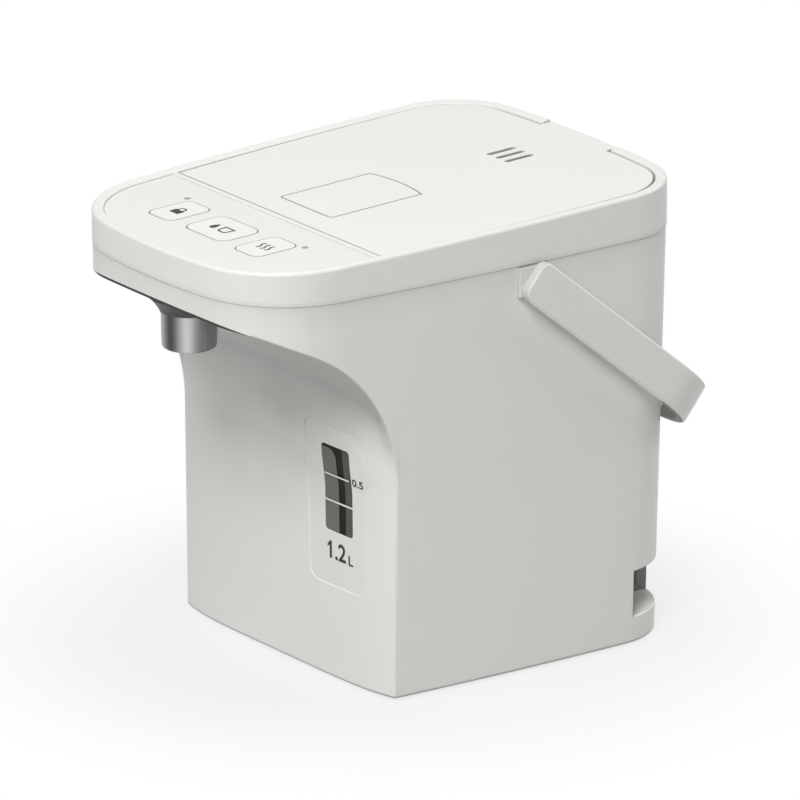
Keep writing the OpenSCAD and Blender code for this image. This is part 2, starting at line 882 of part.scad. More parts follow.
module heater_clamp() {
    home() color(grey)
    translate([0, vessel_y, clamp_under])
        tube(heater_r, heater_r - thermostat_r - 1, clamp_t);
}

module thermostat() {
    home() color(dark)
    translate([0, vessel_y, 0]) {
        translate([0, 0, heater_under - thermostat_h]) cylinder(r = thermostat_r, h = thermostat_h);
        for (s = [-1, 1]) translate([s * terminal_x, 0, heater_under - thermostat_h - terminal_h])
            cylinder(r = terminal_r, h = terminal_h);
    }
}

module thermal_fuse() {
    home() color(steel)
    translate([fuse_x, vessel_y, clamp_under - fuse_r]) rotate([90, 0, 0])
        cylinder(r = fuse_r, h = fuse_len, center = true);
}

// ---- pump ----

pump_place = [pump_x, -pump_reach, 0];
pump_top = pump_z + pump_h;
post_ring = pump_r + 4;
post_r = 3;
outlet_turn = atan2(-riser_reach + pump_reach, riser_x - pump_x);
riser_run = norm([riser_x - pump_x, riser_reach - pump_reach]);
tube_mid_z = pump_z + 7;

module pump_posts()
    for (k = [0 : 2]) rotate([0, 0, outlet_turn + 60 + 120 * k]) translate([post_ring, 0]) children();

module pump_housing() {
    home() color([0.9, 0.9, 0.88])
    translate(pump_place) difference() {
        union() {
            translate([0, 0, pump_z]) cylinder(r = pump_r, h = pump_h);
            translate([0, 0, pump_z]) linear_extrude(3) pump_posts() {
                circle(post_r + 1);
                translate([-5.5, -post_r]) square([5.5, 2 * post_r]);
            }
        }
        difference() {
            translate([0, 0, pump_z + pump_wall]) cylinder(r = pump_r - pump_wall, h = pump_h);
            cylinder(r = shaft_r, h = pump_top - 3);
        }
        translate([0, 0, tube_mid_z]) rotate([0, 90, outlet_turn])
            cylinder(r = tube_r - tube_wall, h = big / 4);
    }
}

module pump_cover() {
    home() color([0.9, 0.9, 0.88])
    translate(pump_place + [0, 0, pump_top])
        tube(pump_r, pump_r - tube_r - fit, pump_wall);
}

module suction_tube() {
    home() color([0.85, 0.85, 0.8])
    translate(pump_place + [0, 0, pump_top]) tube(tube_r, tube_wall, vessel_under - pump_top);
}

impeller_r = pump_r - pump_wall - 2;
impeller_t = 3;
hub_r = 4;
hub_h = 7;
vane_t = 1.6;

module pump_impeller() {
    home() color([0.3, 0.35, 0.4])
    translate(pump_place + [0, 0, pump_z + pump_wall + slack]) difference() {
        union() {
            cylinder(r = impeller_r, h = impeller_t);
            cylinder(r = hub_r, h = hub_h);
            for (k = [0 : 5]) rotate([0, 0, 60 * k])
                translate([hub_r - 1, -vane_t / 2, 0]) cube([impeller_r - hub_r, vane_t, hub_h]);
        }
        translate([0, 0, -past]) cylinder(r = shaft_r + fit, h = 20);
    }
}

motor_z = base_z + base_t;
magnet_z = motor_z + motor_h + 1.5;
magnet_h = pump_z - magnet_z - 0.8;

module pump_motor() {
    home() color(steel)
    translate(pump_place + [0, 0, motor_z]) difference() {
        cylinder(r = motor_r, h = motor_h);
        translate([0, 0, motor_h - 8]) cylinder(r = shaft_r + fit, h = 10);
    }
}

module drive_magnet() {
    home() color(dark)
    translate(pump_place) {
        translate([0, 0, magnet_z]) cylinder(r = motor_r, h = magnet_h);
        translate([0, 0, motor_z + motor_h - 7]) cylinder(r = shaft_r, h = magnet_z - motor_z - motor_h + 8);
    }
}

// ---- water way ----

bore_r = tube_r - tube_wall;
elbow_grow = 0.5;

module delivery_tube() {
    home() color([0.85, 0.85, 0.8])
    difference() {
        union() {
            translate(pump_place + [0, 0, tube_mid_z]) rotate([0, 90, outlet_turn])
                cylinder(r = tube_r, h = riser_run);
            translate(riser_place + [0, 0, tube_mid_z - tube_r])
                cylinder(r = tube_r + elbow_grow, h = riser_low - tube_mid_z + tube_r);
        }
        translate(pump_place) cylinder(r = pump_r, h = pump_top);
        translate(pump_place + [0, 0, tube_mid_z]) rotate([0, 90, outlet_turn])
            cylinder(r = bore_r - 0.1, h = riser_run);
        translate(riser_place + [0, 0, tube_mid_z - bore_r]) cylinder(r = bore_r, h = big / 8);
    }
}

valve_wall = 2;
valve_top = valve_z + valve_h;
valve_hole = tube_r - tube_wall;
ball_z = valve_z + valve_wall + sqrt(ball_r * ball_r - valve_hole * valve_hole) + slack;

module spill_valve() {
    home() color([0.9, 0.9, 0.88])
    translate(riser_place) difference() {
        translate([0, 0, valve_z]) cylinder(r = valve_r, h = valve_h);
        translate([0, 0, valve_z + valve_wall])
            cylinder(r = valve_r - valve_wall, h = valve_h - 2 * valve_wall);
        translate([0, 0, valve_z - past]) cylinder(r = valve_hole, h = valve_h + 2 * past);
    }
}

module valve_ball() {
    home() color(steel)
    translate(riser_place + [0, 0, ball_z]) sphere(ball_r);
}

spout_place = [0, -spout_reach, 0];
sleeve_top = outlet_z - tube_r - 1;
nozzle_top = sleeve_top;
outlet_run = norm([spout_place[0] - riser_place[0], spout_place[1] - riser_place[1]]);
spout_turn = atan2(spout_place[1] - riser_place[1], spout_place[0] - riser_place[0]);

module outlet_tube() {
    home() color([0.85, 0.85, 0.8])
    difference() {
        union() {
            translate(riser_place + [0, 0, valve_top])
                cylinder(r = tube_r + elbow_grow, h = outlet_z + tube_r - valve_top);
            translate(riser_place + [0, 0, outlet_z]) rotate([0, 90, spout_turn])
                cylinder(r = tube_r, h = outlet_run);
            translate(spout_place + [0, 0, nozzle_top])
                cylinder(r = tube_r + elbow_grow, h = outlet_z + tube_r - nozzle_top);
        }
        translate(riser_place + [0, 0, valve_top - past])
            cylinder(r = bore_r, h = outlet_z + bore_r - valve_top + past);
        translate(riser_place + [0, 0, outlet_z]) rotate([0, 90, spout_turn])
            cylinder(r = bore_r - 0.1, h = outlet_run);
        translate(spout_place + [0, 0, nozzle_top - past])
            cylinder(r = bore_r, h = outlet_z + bore_r - nozzle_top + past);
    }
}

nozzle_low = spout_low + 4;
web_t = 2;
web_z = sleeve_top - 6;

module spout_nozzle() {
    home() color(inner_white)
    translate(spout_place) {
        translate([0, 0, nozzle_low]) tube(tube_r, tube_wall, nozzle_top - nozzle_low);
        translate([0, 0, web_z]) tube(spout_r - spout_wall, spout_r - spout_wall - tube_r + 0.2, web_t);
    }
}

module spout_sleeve() {
    home() color(steel)
    translate(spout_place + [0, 0, spout_low]) tube(spout_r, spout_wall, sleeve_top - spout_low);
}

module spout_collar() {
    low_r = spout_r + fit + collar_lip;
    steps = 8;
    home() color(pot_white)
    intersection() {
        translate(spout_place + [0, 0, collar_low]) rotate_extrude() difference() {
            polygon(concat([[0, 0]],
                [for (k = [0 : steps]) let (t = k / steps)
                    [low_r + (collar_high_r - low_r) * pow(t, collar_power), collar_h * t]],
                [[collar_high_r, collar_h + 5], [0, collar_h + 5]]));
            translate([0, -past]) square([spout_r + fit, collar_h + 10]);
        }
        cup_bay(0);
    }
}

// ---- handle ----

// How much the back leans in for each millimetre down
back_fall = back_lean / (seam_z - skirt_z);
// Reach at which the strap's lower inner edge clears the back by handle_back_gap
handle_reach = handle_t
    + (back_reach - seam_step + handle_back_gap + pivot_reach + strap_w / 2 * sin(rest_angle)
       - back_fall * (seam_z - pivot_z + strap_w / 2 * cos(rest_angle)))
    / (cos(rest_angle) + back_fall * sin(rest_angle));

// Flat hoop outline, open at the pivots
module hoop(half, reach, r) {
    translate([-half, -strap_tail]) square([2 * half, reach - r + strap_tail]);
    translate([-half + r, -strap_tail]) square([2 * (half - r), reach + strap_tail]);
    for (side = [-1, 1]) translate([side * (half - r), reach - r]) circle(r);
}

module at_rest() translate([0, -pivot_reach, pivot_z]) rotate([-rest_angle, 0, 0]) children();

module handle() {
    half = handle_w / 2;
    home() color(pot_white) {
        at_rest() intersection() {
            linear_extrude(strap_w, center = true) difference() {
                hoop(half, handle_reach, handle_corner);
                translate([0, -past])
                    hoop(half - handle_t, handle_reach - handle_t + past, handle_corner - handle_t);
            }
            rotate([90, 0, 90]) linear_extrude(big, center = true) {
                translate([tail_corner - strap_tail, -strap_w / 2]) square([big, strap_w]);
                translate([-strap_tail, tail_corner - strap_w / 2])
                    square([strap_tail, strap_w - 2 * tail_corner]);
                for (s = [-1, 1])
                    translate([tail_corner - strap_tail, s * (strap_w / 2 - tail_corner)])
                        circle(tail_corner);
            }
        }
        for (side = [-1, 1])
            pivot_place(side) translate([0, 0, pin_end])
                cylinder(r = pivot_r, h = half - handle_t - pin_end + 1);
    }
}

clip_t = 1.6;
pin_end = boss_in - slack - clip_t;

module handle_clips() {
    home() color(steel)
    for (side = [-1, 1])
        pivot_place(side) translate([0, 0, pin_end]) tube(pivot_r + 2, 2 - fit, clip_t);
}

// ---- base ----

base_edge = side_lean + seam_step + shell_wall + slack;

module base_outline() {
    intersection() {
        plan(base_edge, back_lean + seam_step + shell_wall + slack);
        translate([-big, -cove_foot + shell_wall + slack]) square([2 * big, big]);
    }
}

foot_places = [[-foot_x, -foot_front], [foot_x, -foot_front], [-foot_x, foot_back], [foot_x, foot_back]];
foot_plug_r = 3;
power_board_side = 64;
power_board_place = [-72, -14, 0];
board_pin_in = 6;
board_pins = [for (x = [board_pin_in, power_board_side - board_pin_in],
                   y = [board_pin_in, power_board_side - board_pin_in])
    power_board_place + [x, y, 0]];
board_post_h = 12;

module base_plate() {
    home() color(inner_white) {
        difference() {
            translate([0, 0, base_z]) linear_extrude(base_t) difference() {
                base_outline();
                for (p = screw_places) translate(p) circle(screw_r + 0.1);
                for (p = foot_places) translate(p) circle(foot_plug_r + fit);
            }
            for (p = screw_places) translate([p[0], p[1], base_z - past])
                cylinder(r = 3.1, h = past + 1.2);
        }
        translate([0, 0, motor_z]) {
            translate(pump_place) tube(motor_r + fit + 2, 2, 8);
            translate(pump_place) linear_extrude(pump_z - motor_z) pump_posts() circle(post_r);
            for (p = board_pins) translate(p) cylinder(r = 3, h = board_post_h);
        }
    }
}

module rubber_feet() {
    home() color(dark)
    for (p = foot_places) translate(p) {
        cylinder(r = foot_r, h = base_z);
        cylinder(r = foot_plug_r, h = base_z + base_t);
    }
}

module base_screws() {
    home() color(steel)
    for (p = screw_places) translate([p[0], p[1], base_z + 0.2]) {
        cylinder(r = 3, h = 1);
        cylinder(r = screw_r, h = 10);
    }
}

// ---- power inlet and board ----

inlet_mid_y = recess_y + 3 + inlet_w / 2;
inlet_mid_z = (recess_low + recess_high) / 2;

module power_inlet() {
    home() color(grey)
    translate([recess_x, inlet_mid_y, inlet_mid_z]) rotate([90, 0, 90]) difference() {
        linear_extrude(inlet_t) soft_rect(inlet_w, inlet_h, 2);
        translate([0, 0, 1]) linear_extrude(inlet_t) soft_rect(inlet_w - 4, inlet_h - 6, 1);
        for (s = [-1, 1]) translate([s * contact_pitch / 2, 0, -past])
            cylinder(r = contact_r + fit, h = inlet_t + 2 * past);
    }
}

module inlet_contacts() {
    home() color([0.8, 0.68, 0.4])
    for (s = [-1, 1])
        translate([0, inlet_mid_y + s * contact_pitch / 2, inlet_mid_z])
            along_x(recess_x - recess_wall - 4) cylinder(r = contact_r, h = recess_wall + 4 + inlet_t - 0.3);
}

board_z = base_z + base_t + board_post_h;

module power_board() {
    home() color([0.2, 0.42, 0.25])
    translate(power_board_place + [0, 0, board_z])
        cube([power_board_side, power_board_side, board_t]);
}

relay = [22, 18, 16];
choke = [14, 20, 14];
socket = [8, 12, 10];
capacitor_r = 5;
capacitor_h = 14;
capacitor_pitch = 14;
parts_in = [board_pin_in, 19];
capacitor_row = [12, 50];

module board_parts() {
    home() color(dark)
    translate(power_board_place + [0, 0, board_z + board_t]) {
        translate(parts_in) cube(relay);
        translate(parts_in + [relay[0] + capacitor_r, 0]) cube(choke);
        for (k = [0 : 2]) translate(capacitor_row + [k * capacitor_pitch, 0])
            cylinder(r = capacitor_r, h = capacitor_h);
        translate(capacitor_row + [3 * capacitor_pitch, -socket[1] / 2]) cube(socket);
    }
}

// ---- lid ----

hinge_pin_half = notch_half + 7;
lid_front = -split_reach + split_gap / 2;
lid_low = deck_z + lid_seat_gap;
lid_edge = rim_w + lid_gap;
tab_half = notch_half - 0.9;
tab_back_in = 0.8;
cavity_back = hinge_y - 12;
rim_back_z = rim_z + back_reach * tan(rim_tilt);
lid_post_places = [[-70, -55], [70, -55], [-70, 45], [70, 45]];
lid_post_r = 3.5;
latch_z = lid_low + 3;
tub_wall = 1.2;
tub_front_depth = lever_t + 1.2;
tub_back_depth = 5.7;
tub_step = -lever_axle - 7;

// Swept room that the back of the rim needs when the lid turns about its hinge
module hinge_sweep() {
    edge = corner_points(rim_w);
    n = len(edge);
    radii = [for (p = edge) [norm([hinge_y - p[1], rim_back_z - hinge_z]) + slack, p[0]]];
    first = [norm([rim_w - hinge_in, rim_back_z - hinge_z]) + slack, tab_half];
    for (side = [0, 1]) mirror([side, 0, 0])
        translate([0, hinge_y, hinge_z]) rotate([0, 90, 0]) rotate_extrude()
            polygon(concat([[0, edge[0][0] + 0.1]], radii, [first, [0, tab_half]]));
}

module lever_outline(grow) {
    r = (lever_half * lever_half + lever_bulge * lever_bulge) / (2 * lever_bulge);
    intersection() {
        translate([-lever_half - grow, -lever_front - grow])
            square([2 * (lever_half + grow), lever_front - lever_back + 2 * grow]);
        translate([0, -lever_back - r]) circle(r + grow, $fn = 360);
    }
}

// Tub under the lever: shallow in front and deeper at the axle, grown by g
module lever_tub(g) {
    on_lid() {
        translate([0, 0, -tub_front_depth - g]) linear_extrude(tub_front_depth + g + 5)
            lever_outline(lever_gap + g);
        translate([0, 0, -tub_back_depth - g]) linear_extrude(tub_back_depth + g + 5)
            between_y(tub_step - g, big) lever_outline(lever_gap + g);
    }
}

module slot_outlines() {
    for (k = [0 : slot_n - 1])
        translate([slot_x + (k - (slot_n - 1) / 2) * slot_pitch, slot_y])
            soft_rect(slot_w, slot_len, slot_w / 2 - 0.01);
}

module lid_cover() {
    home() color(pot_white)
    difference() {
        union() {
            difference() {
                translate([0, 0, lid_low]) linear_extrude(40)
                    between_y(lid_front, big) even_plan(lid_edge);
                difference() {
                    translate([0, 0, lid_low - past]) linear_extrude(40)
                        between_y(lid_front + lid_wall, cavity_back) even_plan(lid_edge + lid_wall);
                    above_lid(-lid_top_t);
                }
            }
            // tab over the hinge
            translate([0, 0, notch_z + 1]) linear_extrude(30) intersection() {
                even_plan(tab_back_in);
                translate([-tab_half, cavity_back]) square([2 * tab_half, 40]);
            }
            translate([0, hinge_y, hinge_z]) rotate([0, 90, 0])
                cylinder(r = knuckle_r, h = 2 * knuckle_half, center = true);
            intersection() {
                lever_tub(tub_wall);
                translate([-big / 2, -big / 2, lid_low]) cube(big);
            }
            for (p = lid_post_places) translate([p[0], p[1], lid_low + inner_lid_t])
                cylinder(r = lid_post_r, h = 20);
        }
        above_lid(0);
        hinge_sweep();
        lever_tub(0);
        translate([0, 0, lid_low]) linear_extrude(40) slot_outlines();
        translate([0, hinge_y, hinge_z]) rotate([0, 90, 0])
            cylinder(r = hinge_pin_r + fit, h = 2 * hinge_pin_half, center = true);
        on_lid() translate([0, -lever_axle, -lever_axle_depth]) rotate([0, 90, 0])
            cylinder(r = lever_pin_r, h = 2 * lever_pin_half, center = true);
        translate([-latch_half - slack, lid_front - past, latch_z - slack])
            cube([2 * (latch_half + slack), lid_wall + 2 * past, latch_t + 2 * slack]);
        for (p = lid_post_places) translate([p[0], p[1], lid_low - past])
            cylinder(r = screw_r, h = 6 + past);
    }
}

module hinge_pin() {
    home() color(steel)
    translate([0, hinge_y, hinge_z]) rotate([0, 90, 0])
        cylinder(r = hinge_pin_r, h = 2 * hinge_pin_half, center = true);
}

inner_lid_edge = lid_edge + lid_wall + slack;
inner_front = lid_front + lid_wall + latch_len + 3;

module inner_lid() {
    home() color(inner_white)
    difference() {
        union() {
            translate([0, 0, lid_low]) linear_extrude(inner_lid_t)
                between_y(inner_front, cavity_back - slack) even_plan(inner_lid_edge);
            translate([0, vessel_y, plug_z]) cylinder(r = plug_r, h = lid_low - plug_z + 0.1);
        }
        translate([0, vessel_y, plug_z + inner_lid_t])
            cylinder(r = plug_r - inner_lid_t, h = 60);
        translate([slot_x, slot_y, plug_z - past]) cylinder(r = duct_r - duct_wall, h = 10);
        for (p = lid_post_places) translate([p[0], p[1], lid_low - past]) {
            cylinder(r = 3.05, h = past + 1);
            cylinder(r = screw_r + 0.1, h = 10);
        }
    }
}

duct_r = 8;
duct_wall = 1.2;

module steam_duct() {
    home() color(inner_white)
    difference() {
        translate([slot_x, slot_y, plug_z + inner_lid_t]) tube(duct_r, duct_wall, 60);
        above_lid(-lid_top_t);
    }
}

module lid_shield() {
    home() color(steel)
    translate([0, vessel_y, plug_z - shield_t]) difference() {
        cylinder(r = plug_r - 1.5, h = shield_t);
        translate([slot_x, slot_y - vessel_y, -past]) cylinder(r = duct_r - duct_wall, h = 5);
    }
}

seal_h = 4;
seal_z = flange_z - 7;

module lid_seal() {
    home() color([0.8, 0.8, 0.78])
    translate([0, vessel_y, seal_z]) tube(vessel_r - slack, vessel_r - slack - plug_r, seal_h);
}

module lid_screws() {
    home() color(steel)
    for (p = lid_post_places) translate([p[0], p[1], lid_low]) {
        cylinder(r = 3, h = 1);
        cylinder(r = screw_r, h = 6);
    }
}

lever_pin_half = lever_half + lever_gap + tub_wall;
lever_knuckle_half = 8;

module lever_pin() {
    home() color(steel)
    on_lid() translate([0, -lever_axle, -lever_axle_depth]) rotate([0, 90, 0])
        cylinder(r = lever_pin_r, h = 2 * lever_pin_half, center = true);
}

module lid_lever() {
    home() color(pot_white)
    on_lid() difference() {
        union() {
            translate([0, 0, -lever_t]) linear_extrude(lever_t) lever_outline(0);
            for (side = [-1, 1])
                translate([side * (lever_half - lever_knuckle_half), -lever_axle, -lever_axle_depth])
                    rotate([0, 90, 0])
                        cylinder(r = lever_pin_r + 1, h = 2 * lever_knuckle_half - 2, center = true);
        }
        translate([0, -lever_axle, -lever_axle_depth]) rotate([0, 90, 0])
            cylinder(r = lever_pin_r + fit, h = big, center = true);
    }
}

module lid_latch() {
    home() color(grey)
    translate([-latch_half, lid_front, latch_z]) cube([2 * latch_half, latch_len, latch_t]);
}

outer_shell();
shoulder_ring();
control_panel();
lamp_lenses();
control_board();
tact_switches();
board_screws();
gauge_panel();
gauge_window();
gauge_tube();
vessel();
insulation();
mouth_seal();
mouth_screws();
heater_plate();
heater_clamp();
thermostat();
thermal_fuse();
pump_housing();
pump_cover();
pump_motor();
suction_tube();
delivery_tube();
spill_valve();
outlet_tube();
spout_nozzle();
spout_sleeve();
spout_collar();
base_plate();
rubber_feet();
base_screws();
power_inlet();
inlet_contacts();
power_board();
board_parts();
hinge_pin();
lid_cover();
inner_lid();
lid_shield();
lid_seal();
steam_duct();
lid_screws();
lever_pin();
lid_lever();
lid_latch();
button_left();
button_centre();
button_right();
handle();
handle_clips();
pump_impeller();
drive_magnet();
valve_ball();
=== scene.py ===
"""Electric thermo pot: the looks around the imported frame.

Lengths are in millimetres, and places are counted from a cross line through the body, as in
the part. The cross line lies HOME_Y behind the origin. The pieces are built as skins of points
and faces, and each one stands for the solid of the same place in the frame.
"""

import json
import math

import bmesh
import bpy
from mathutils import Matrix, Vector
from mathutils.geometry import delaunay_2d_cdt


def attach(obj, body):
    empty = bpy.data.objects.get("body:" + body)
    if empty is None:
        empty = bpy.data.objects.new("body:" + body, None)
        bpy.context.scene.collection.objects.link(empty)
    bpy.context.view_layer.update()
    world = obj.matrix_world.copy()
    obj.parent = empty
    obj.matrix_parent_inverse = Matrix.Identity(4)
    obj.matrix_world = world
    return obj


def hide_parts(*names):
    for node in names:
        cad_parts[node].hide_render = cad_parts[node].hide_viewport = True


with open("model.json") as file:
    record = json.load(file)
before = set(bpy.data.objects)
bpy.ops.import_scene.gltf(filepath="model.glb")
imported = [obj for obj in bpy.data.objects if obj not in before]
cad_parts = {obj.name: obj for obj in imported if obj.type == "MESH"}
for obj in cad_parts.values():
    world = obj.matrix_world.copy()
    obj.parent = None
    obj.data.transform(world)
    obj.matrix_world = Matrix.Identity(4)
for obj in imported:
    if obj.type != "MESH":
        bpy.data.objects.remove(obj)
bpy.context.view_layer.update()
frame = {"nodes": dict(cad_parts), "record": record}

MM = 0.001
HOME_Y = 27.03
TAU = 2 * math.pi

# ---- outline and walls of the body ----
HALF_W, NOSE_REACH, BACK_REACH, WIDEST_Y = 89.0, 159.6, 90.8, 40.0
NOSE_BOW_R, NOSE_CORNER_R, SIDE_BOW_R = 313.6, 49.7, 1892.0
BACK_CORNER_R, BACK_BOW_R = 37.1, 600.0
SHELL_WALL, SEAM_Z, SKIRT_Z, SKIRT_TOP = 2.6, 198.7, 1.0, 12.0
SIDE_LEAN, BACK_LEAN, SEAM_STEP = 3.0, 4.6, 0.3
EDGE_SOFT, FOOT_SOFT = 1.0, 0.7
FRONT_WALL, FRONT_SLOPE = 86.2, math.tan(math.radians(0.83))
BOW_HALF, BOW_DEPTH, BOW_POWER = 80.0, 4.4, 5.2
COVE_FOOT, COVE_Z, COVE_R, FOOT_CUT_Z = 81.3, 102.8, 79.0, 50.0
RAMP = math.radians(24.8)
BLEND_LOW, BLEND_RISE, BLEND_DEPTH, BLEND_HALF, BLEND_POWER = 80.0, 32.0, 17.0, 82.0, 6
NOSE_LIP = ((0, 0), (0.25, 0.7), (0.9, 1.3), (2.0, 1.2), (4.5, 0))
LIP_END, LIP_FADE = 147.0, 8.0
RECESS_X, RECESS_Y, RECESS_LOW, RECESS_HIGH = 57.5, 54.0, 13.5, 36.0

# ---- shoulder ring ----
RIM_Z, RIM_SLOPE, RIM_W = 219.09, math.tan(math.radians(1.62)), 5.4
CROWN_R, INNER_R, LOWER_R, CROWN_SLOPE = 1.9, 0.4, 0.32, 0.28
DECK_Z, DECK_T, SPLIT, SPLIT_GAP = 206.0, 2.6, 87.0, 0.5
NOTCH_HALF, NOTCH_Z = 26.6, 209.0
VESSEL_Y, MOUTH_R = 14.0, 62.0

# ---- lid and lever ----
LID_Z, LID_SLOPE = 217.85, math.tan(math.radians(1.83))
LID_INSET, LID_LOW, LID_WALL, LID_TOP_T = 5.9, 206.5, 2.4, 2.5
TAB_HALF, TAB_IN, TAB_LOW = 25.7, 0.8, 210.0
HINGE_Y, HINGE_Z, KNUCKLE_R, KNUCKLE_HALF = 88.2, 215.5, 4.2, 22.0
LEVER_HALF, LEVER_FRONT, LEVER_BACK, LEVER_BULGE = 19.6, -71.6, -18.0, 2.5
LEVER_T, LEVER_GAP, TUB_STEP, TUB_TOP, TUB_FRONT, TUB_BACK = 1.8, 0.5, -32.0, 1.0, 3.0, 5.7
LEVER_AXLE_Y, LEVER_AXLE_DROP, AXLE_R, EYE_R, EYE_IN, EYE_OUT = -25.0, 2.2, 1.05, 2.0, 4.6, 18.6
GRIP_LINES, GRIP_HALF_X, GRIP_HALF_Y, GRIP_RISE = (-66.5, -63.3), 9.0, 0.55, 0.22
SLOT_X, SLOT_Y, SLOT_PITCH, SLOT_W, SLOT_LEN = 0.9, 45.4, 6.8, 2.4, 15.8

# ---- control panel ----
FILM_T, PANEL_INSET, PANEL_BACK, STRIP_BACK = 0.5, 5.7, -90.6, -90.3
BUTTON_Y, BUTTON_T, BUTTON_GAP, BUTTON_RISE, BUTTON_CROWN = -119.0, 3.0, 0.3, 0.15, 0.2
BUTTON_WELL, SIGN_HALF, SIGN_T, GROOVE_DEPTH = 4.0, 0.42, 0.03, 1.2
BUTTONS = (("button_left", "left_button", -33.7, 18.6, 24.8, 4.5),
           ("button_centre", "centre_button", 0.0, 30.8, 23.2, 5.5),
           ("button_right", "right_button", 33.7, 18.6, 24.8, 4.5))
LAMP_X, LAMP_Y, LAMP_R = 46.0, -105.7, 1.5

# ---- water gauge: left, right, low, high and corner radius, then what shows in the window ----
GAUGE = (23.5, 64.4, 46.0, 125.0, 6.0)
WINDOW = (35.3, 55.8, 72.4, 115.0, 2.0)
GAUGE_SINK, GAUGE_LAP, GLASS_SINK, PANE_SINK, PRINT_T = 0.4, 0.3, 1.0, 0.4, 0.1
CHANNEL_RIGHT, CHANNEL_TOP, CHANNEL_ROUND, SIDE_LEFT = 45.7, 113.3, 5.0, 50.6
MARKS, MARK_HALF = ((100.3, 36.5, 54.4), (87.3, 35.9, 56.2)), 0.45
FLAG = ((37.0, 65.3), (39.2, 67.6), (39.2, 65.9), (37.0, 64.0))
NUMBERS = (("0.5", 56.7, 64.2, 98.6, 102.3), ("1.2", 38.6, 50.7, 58.9, 67.6),
           ("L", 52.6, 55.9, 58.8, 63.7))

# ---- spout ----
SPOUT_Y, SPOUT_R, SPOUT_WALL, SPOUT_LOW, SPOUT_TOP = -137.9, 13.1, 1.5, 161.7, 188.5
SPOUT_LIP, SPOUT_DRAFT = 1.1, 0.35
COLLAR_LOW, COLLAR_H, COLLAR_LIP, COLLAR_R, COLLAR_POWER = 179.2, 7.0, 0.6, 19.0, 1.6

# ---- carry handle ----
PIVOT_Y, PIVOT_Z, PIVOT_R, PIN_END, PIN_ROOT = -6.4, 190.1, 4.5, 82.1, 91.0
HANDLE_HALF, HANDLE_T, STRAP_HALF, HANDLE_REACH = 95.5, 5.0, 10.0, 136.6
HANDLE_CORNER, STRAP_TAIL, TAIL_R, INSIDE_FROM = 38.0, 6.5, 5.0, 88.0
STRAP_MID, STRAP_OUT_R, STRAP_IN_R, TAIL_STEPS = HANDLE_HALF - HANDLE_T / 2, 1.3, 0.9, 8
REST = math.radians(-39.4)
PAD_ROOT, PAD_FACE, PAD_FRONT, PAD_REAR, PAD_LOW, PAD_SOFT = 83.0, 90.2, 10.0, 7.0, 184.2, 0.5

# ---- mesh building ----

SHARP = math.radians(35)
NEAR = 0.01


class Skin:
    """Collects points and faces in millimetres; a point used twice is one vertex."""

    def __init__(self):
        self.points, self.faces, self.paints = [], [], []
        self.index, self.known, self.soft, self.paint = {}, set(), {}, 0

    def at(self, p):
        key = tuple(round(c, 3) for c in p)
        if key not in self.index:
            self.index[key] = len(self.points)
            self.points.append(tuple(p))
        return self.index[key]

    def face(self, *pts):
        """A face in the finish whose number is the skin's paint."""
        ids = list(dict.fromkeys(self.at(p) for p in pts))
        if len(ids) > 2 and frozenset(ids) not in self.known:
            self.known.add(frozenset(ids))
            self.faces.append(ids)
            self.paints.append(self.paint)

    def grid(self, rows, closed=False):
        """Faces between rows of points; closed joins the last point of a row to its first."""
        for a, b in zip(rows, rows[1:]):
            n = len(a)
            for i in range(n if closed else n - 1):
                j = (i + 1) % n
                self.face(a[i], a[j], b[j], b[i])

    def sides(self, loop, *places):
        """Closed walls between the same flat loop placed in several ways."""
        self.grid([[place(*p) for p in loop] for place in places], closed=True)

    def fill(self, place, outer, holes=(), extra=()):
        """Fills a flat loop, except its holes, and puts each point where place says."""
        for tri in filled(outer, holes, extra):
            self.face(*[place(*p) for p in tri])

    def across(self, y, half, z0, z1):
        """Upright face across the middle, from one height to another."""
        self.face((-half, y, z0), (half, y, z0), (half, y, z1), (-half, y, z1))

    def soften(self, line, width, closed=False):
        """Marks the edges along a line of points to be rounded by width."""
        pairs = list(zip(line, line[1:])) + ([(line[-1], line[0])] if closed else [])
        for p, q in pairs:
            self.soft[frozenset((self.at(p), self.at(q)))] = width


def write_mesh(mesh, skin, widest):
    """Writes a skin's points and faces, and each edge's share of the widest rounding."""
    bm = bmesh.new()
    verts = [bm.verts.new((x * MM, (y + HOME_Y) * MM, z * MM)) for x, y, z in skin.points]
    for ids, paint in zip(skin.faces, skin.paints):
        bm.faces.new([verts[i] for i in ids]).material_index = paint
    bmesh.ops.recalc_face_normals(bm, faces=bm.faces)
    if widest:
        bm.verts.index_update()
        layer = bm.edges.layers.float.new("bevel_weight_edge")
        for e in bm.edges:
            e[layer] = skin.soft.get(frozenset(v.index for v in e.verts), 0) / widest
    bm.to_mesh(mesh)
    bm.free()


def make(name, skin, looks, body, node=None):
    """Turns a skin into an object that rides on a body, and stands for a node of the part."""
    mesh = bpy.data.meshes.new(name)
    widest = max(skin.soft.values(), default=0)
    write_mesh(mesh, skin, widest)
    obj = bpy.data.objects.new(name, mesh)
    bpy.context.scene.collection.objects.link(obj)
    for look in looks:
        mesh.materials.append(M[look])
    for p in mesh.polygons:
        p.use_smooth = True
    mesh.set_sharp_from_angle(angle=SHARP)
    if widest:
        bevel = obj.modifiers.new("edges", "BEVEL")
        bevel.limit_method = "WEIGHT"
        bevel.width, bevel.segments = widest * MM, 3
        bevel.use_clamp_overlap = False
    obj.modifiers.new("normals", "WEIGHTED_NORMAL").keep_sharp = True
    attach(obj, body)
    if node:
        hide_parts(node)
    return obj


def repaint(obj, old, new, chosen):
    """Gives the chosen faces of one finish another finish of the object."""
    for p in obj.data.polygons:
        if p.material_index == old and chosen(p):
            p.material_index = new


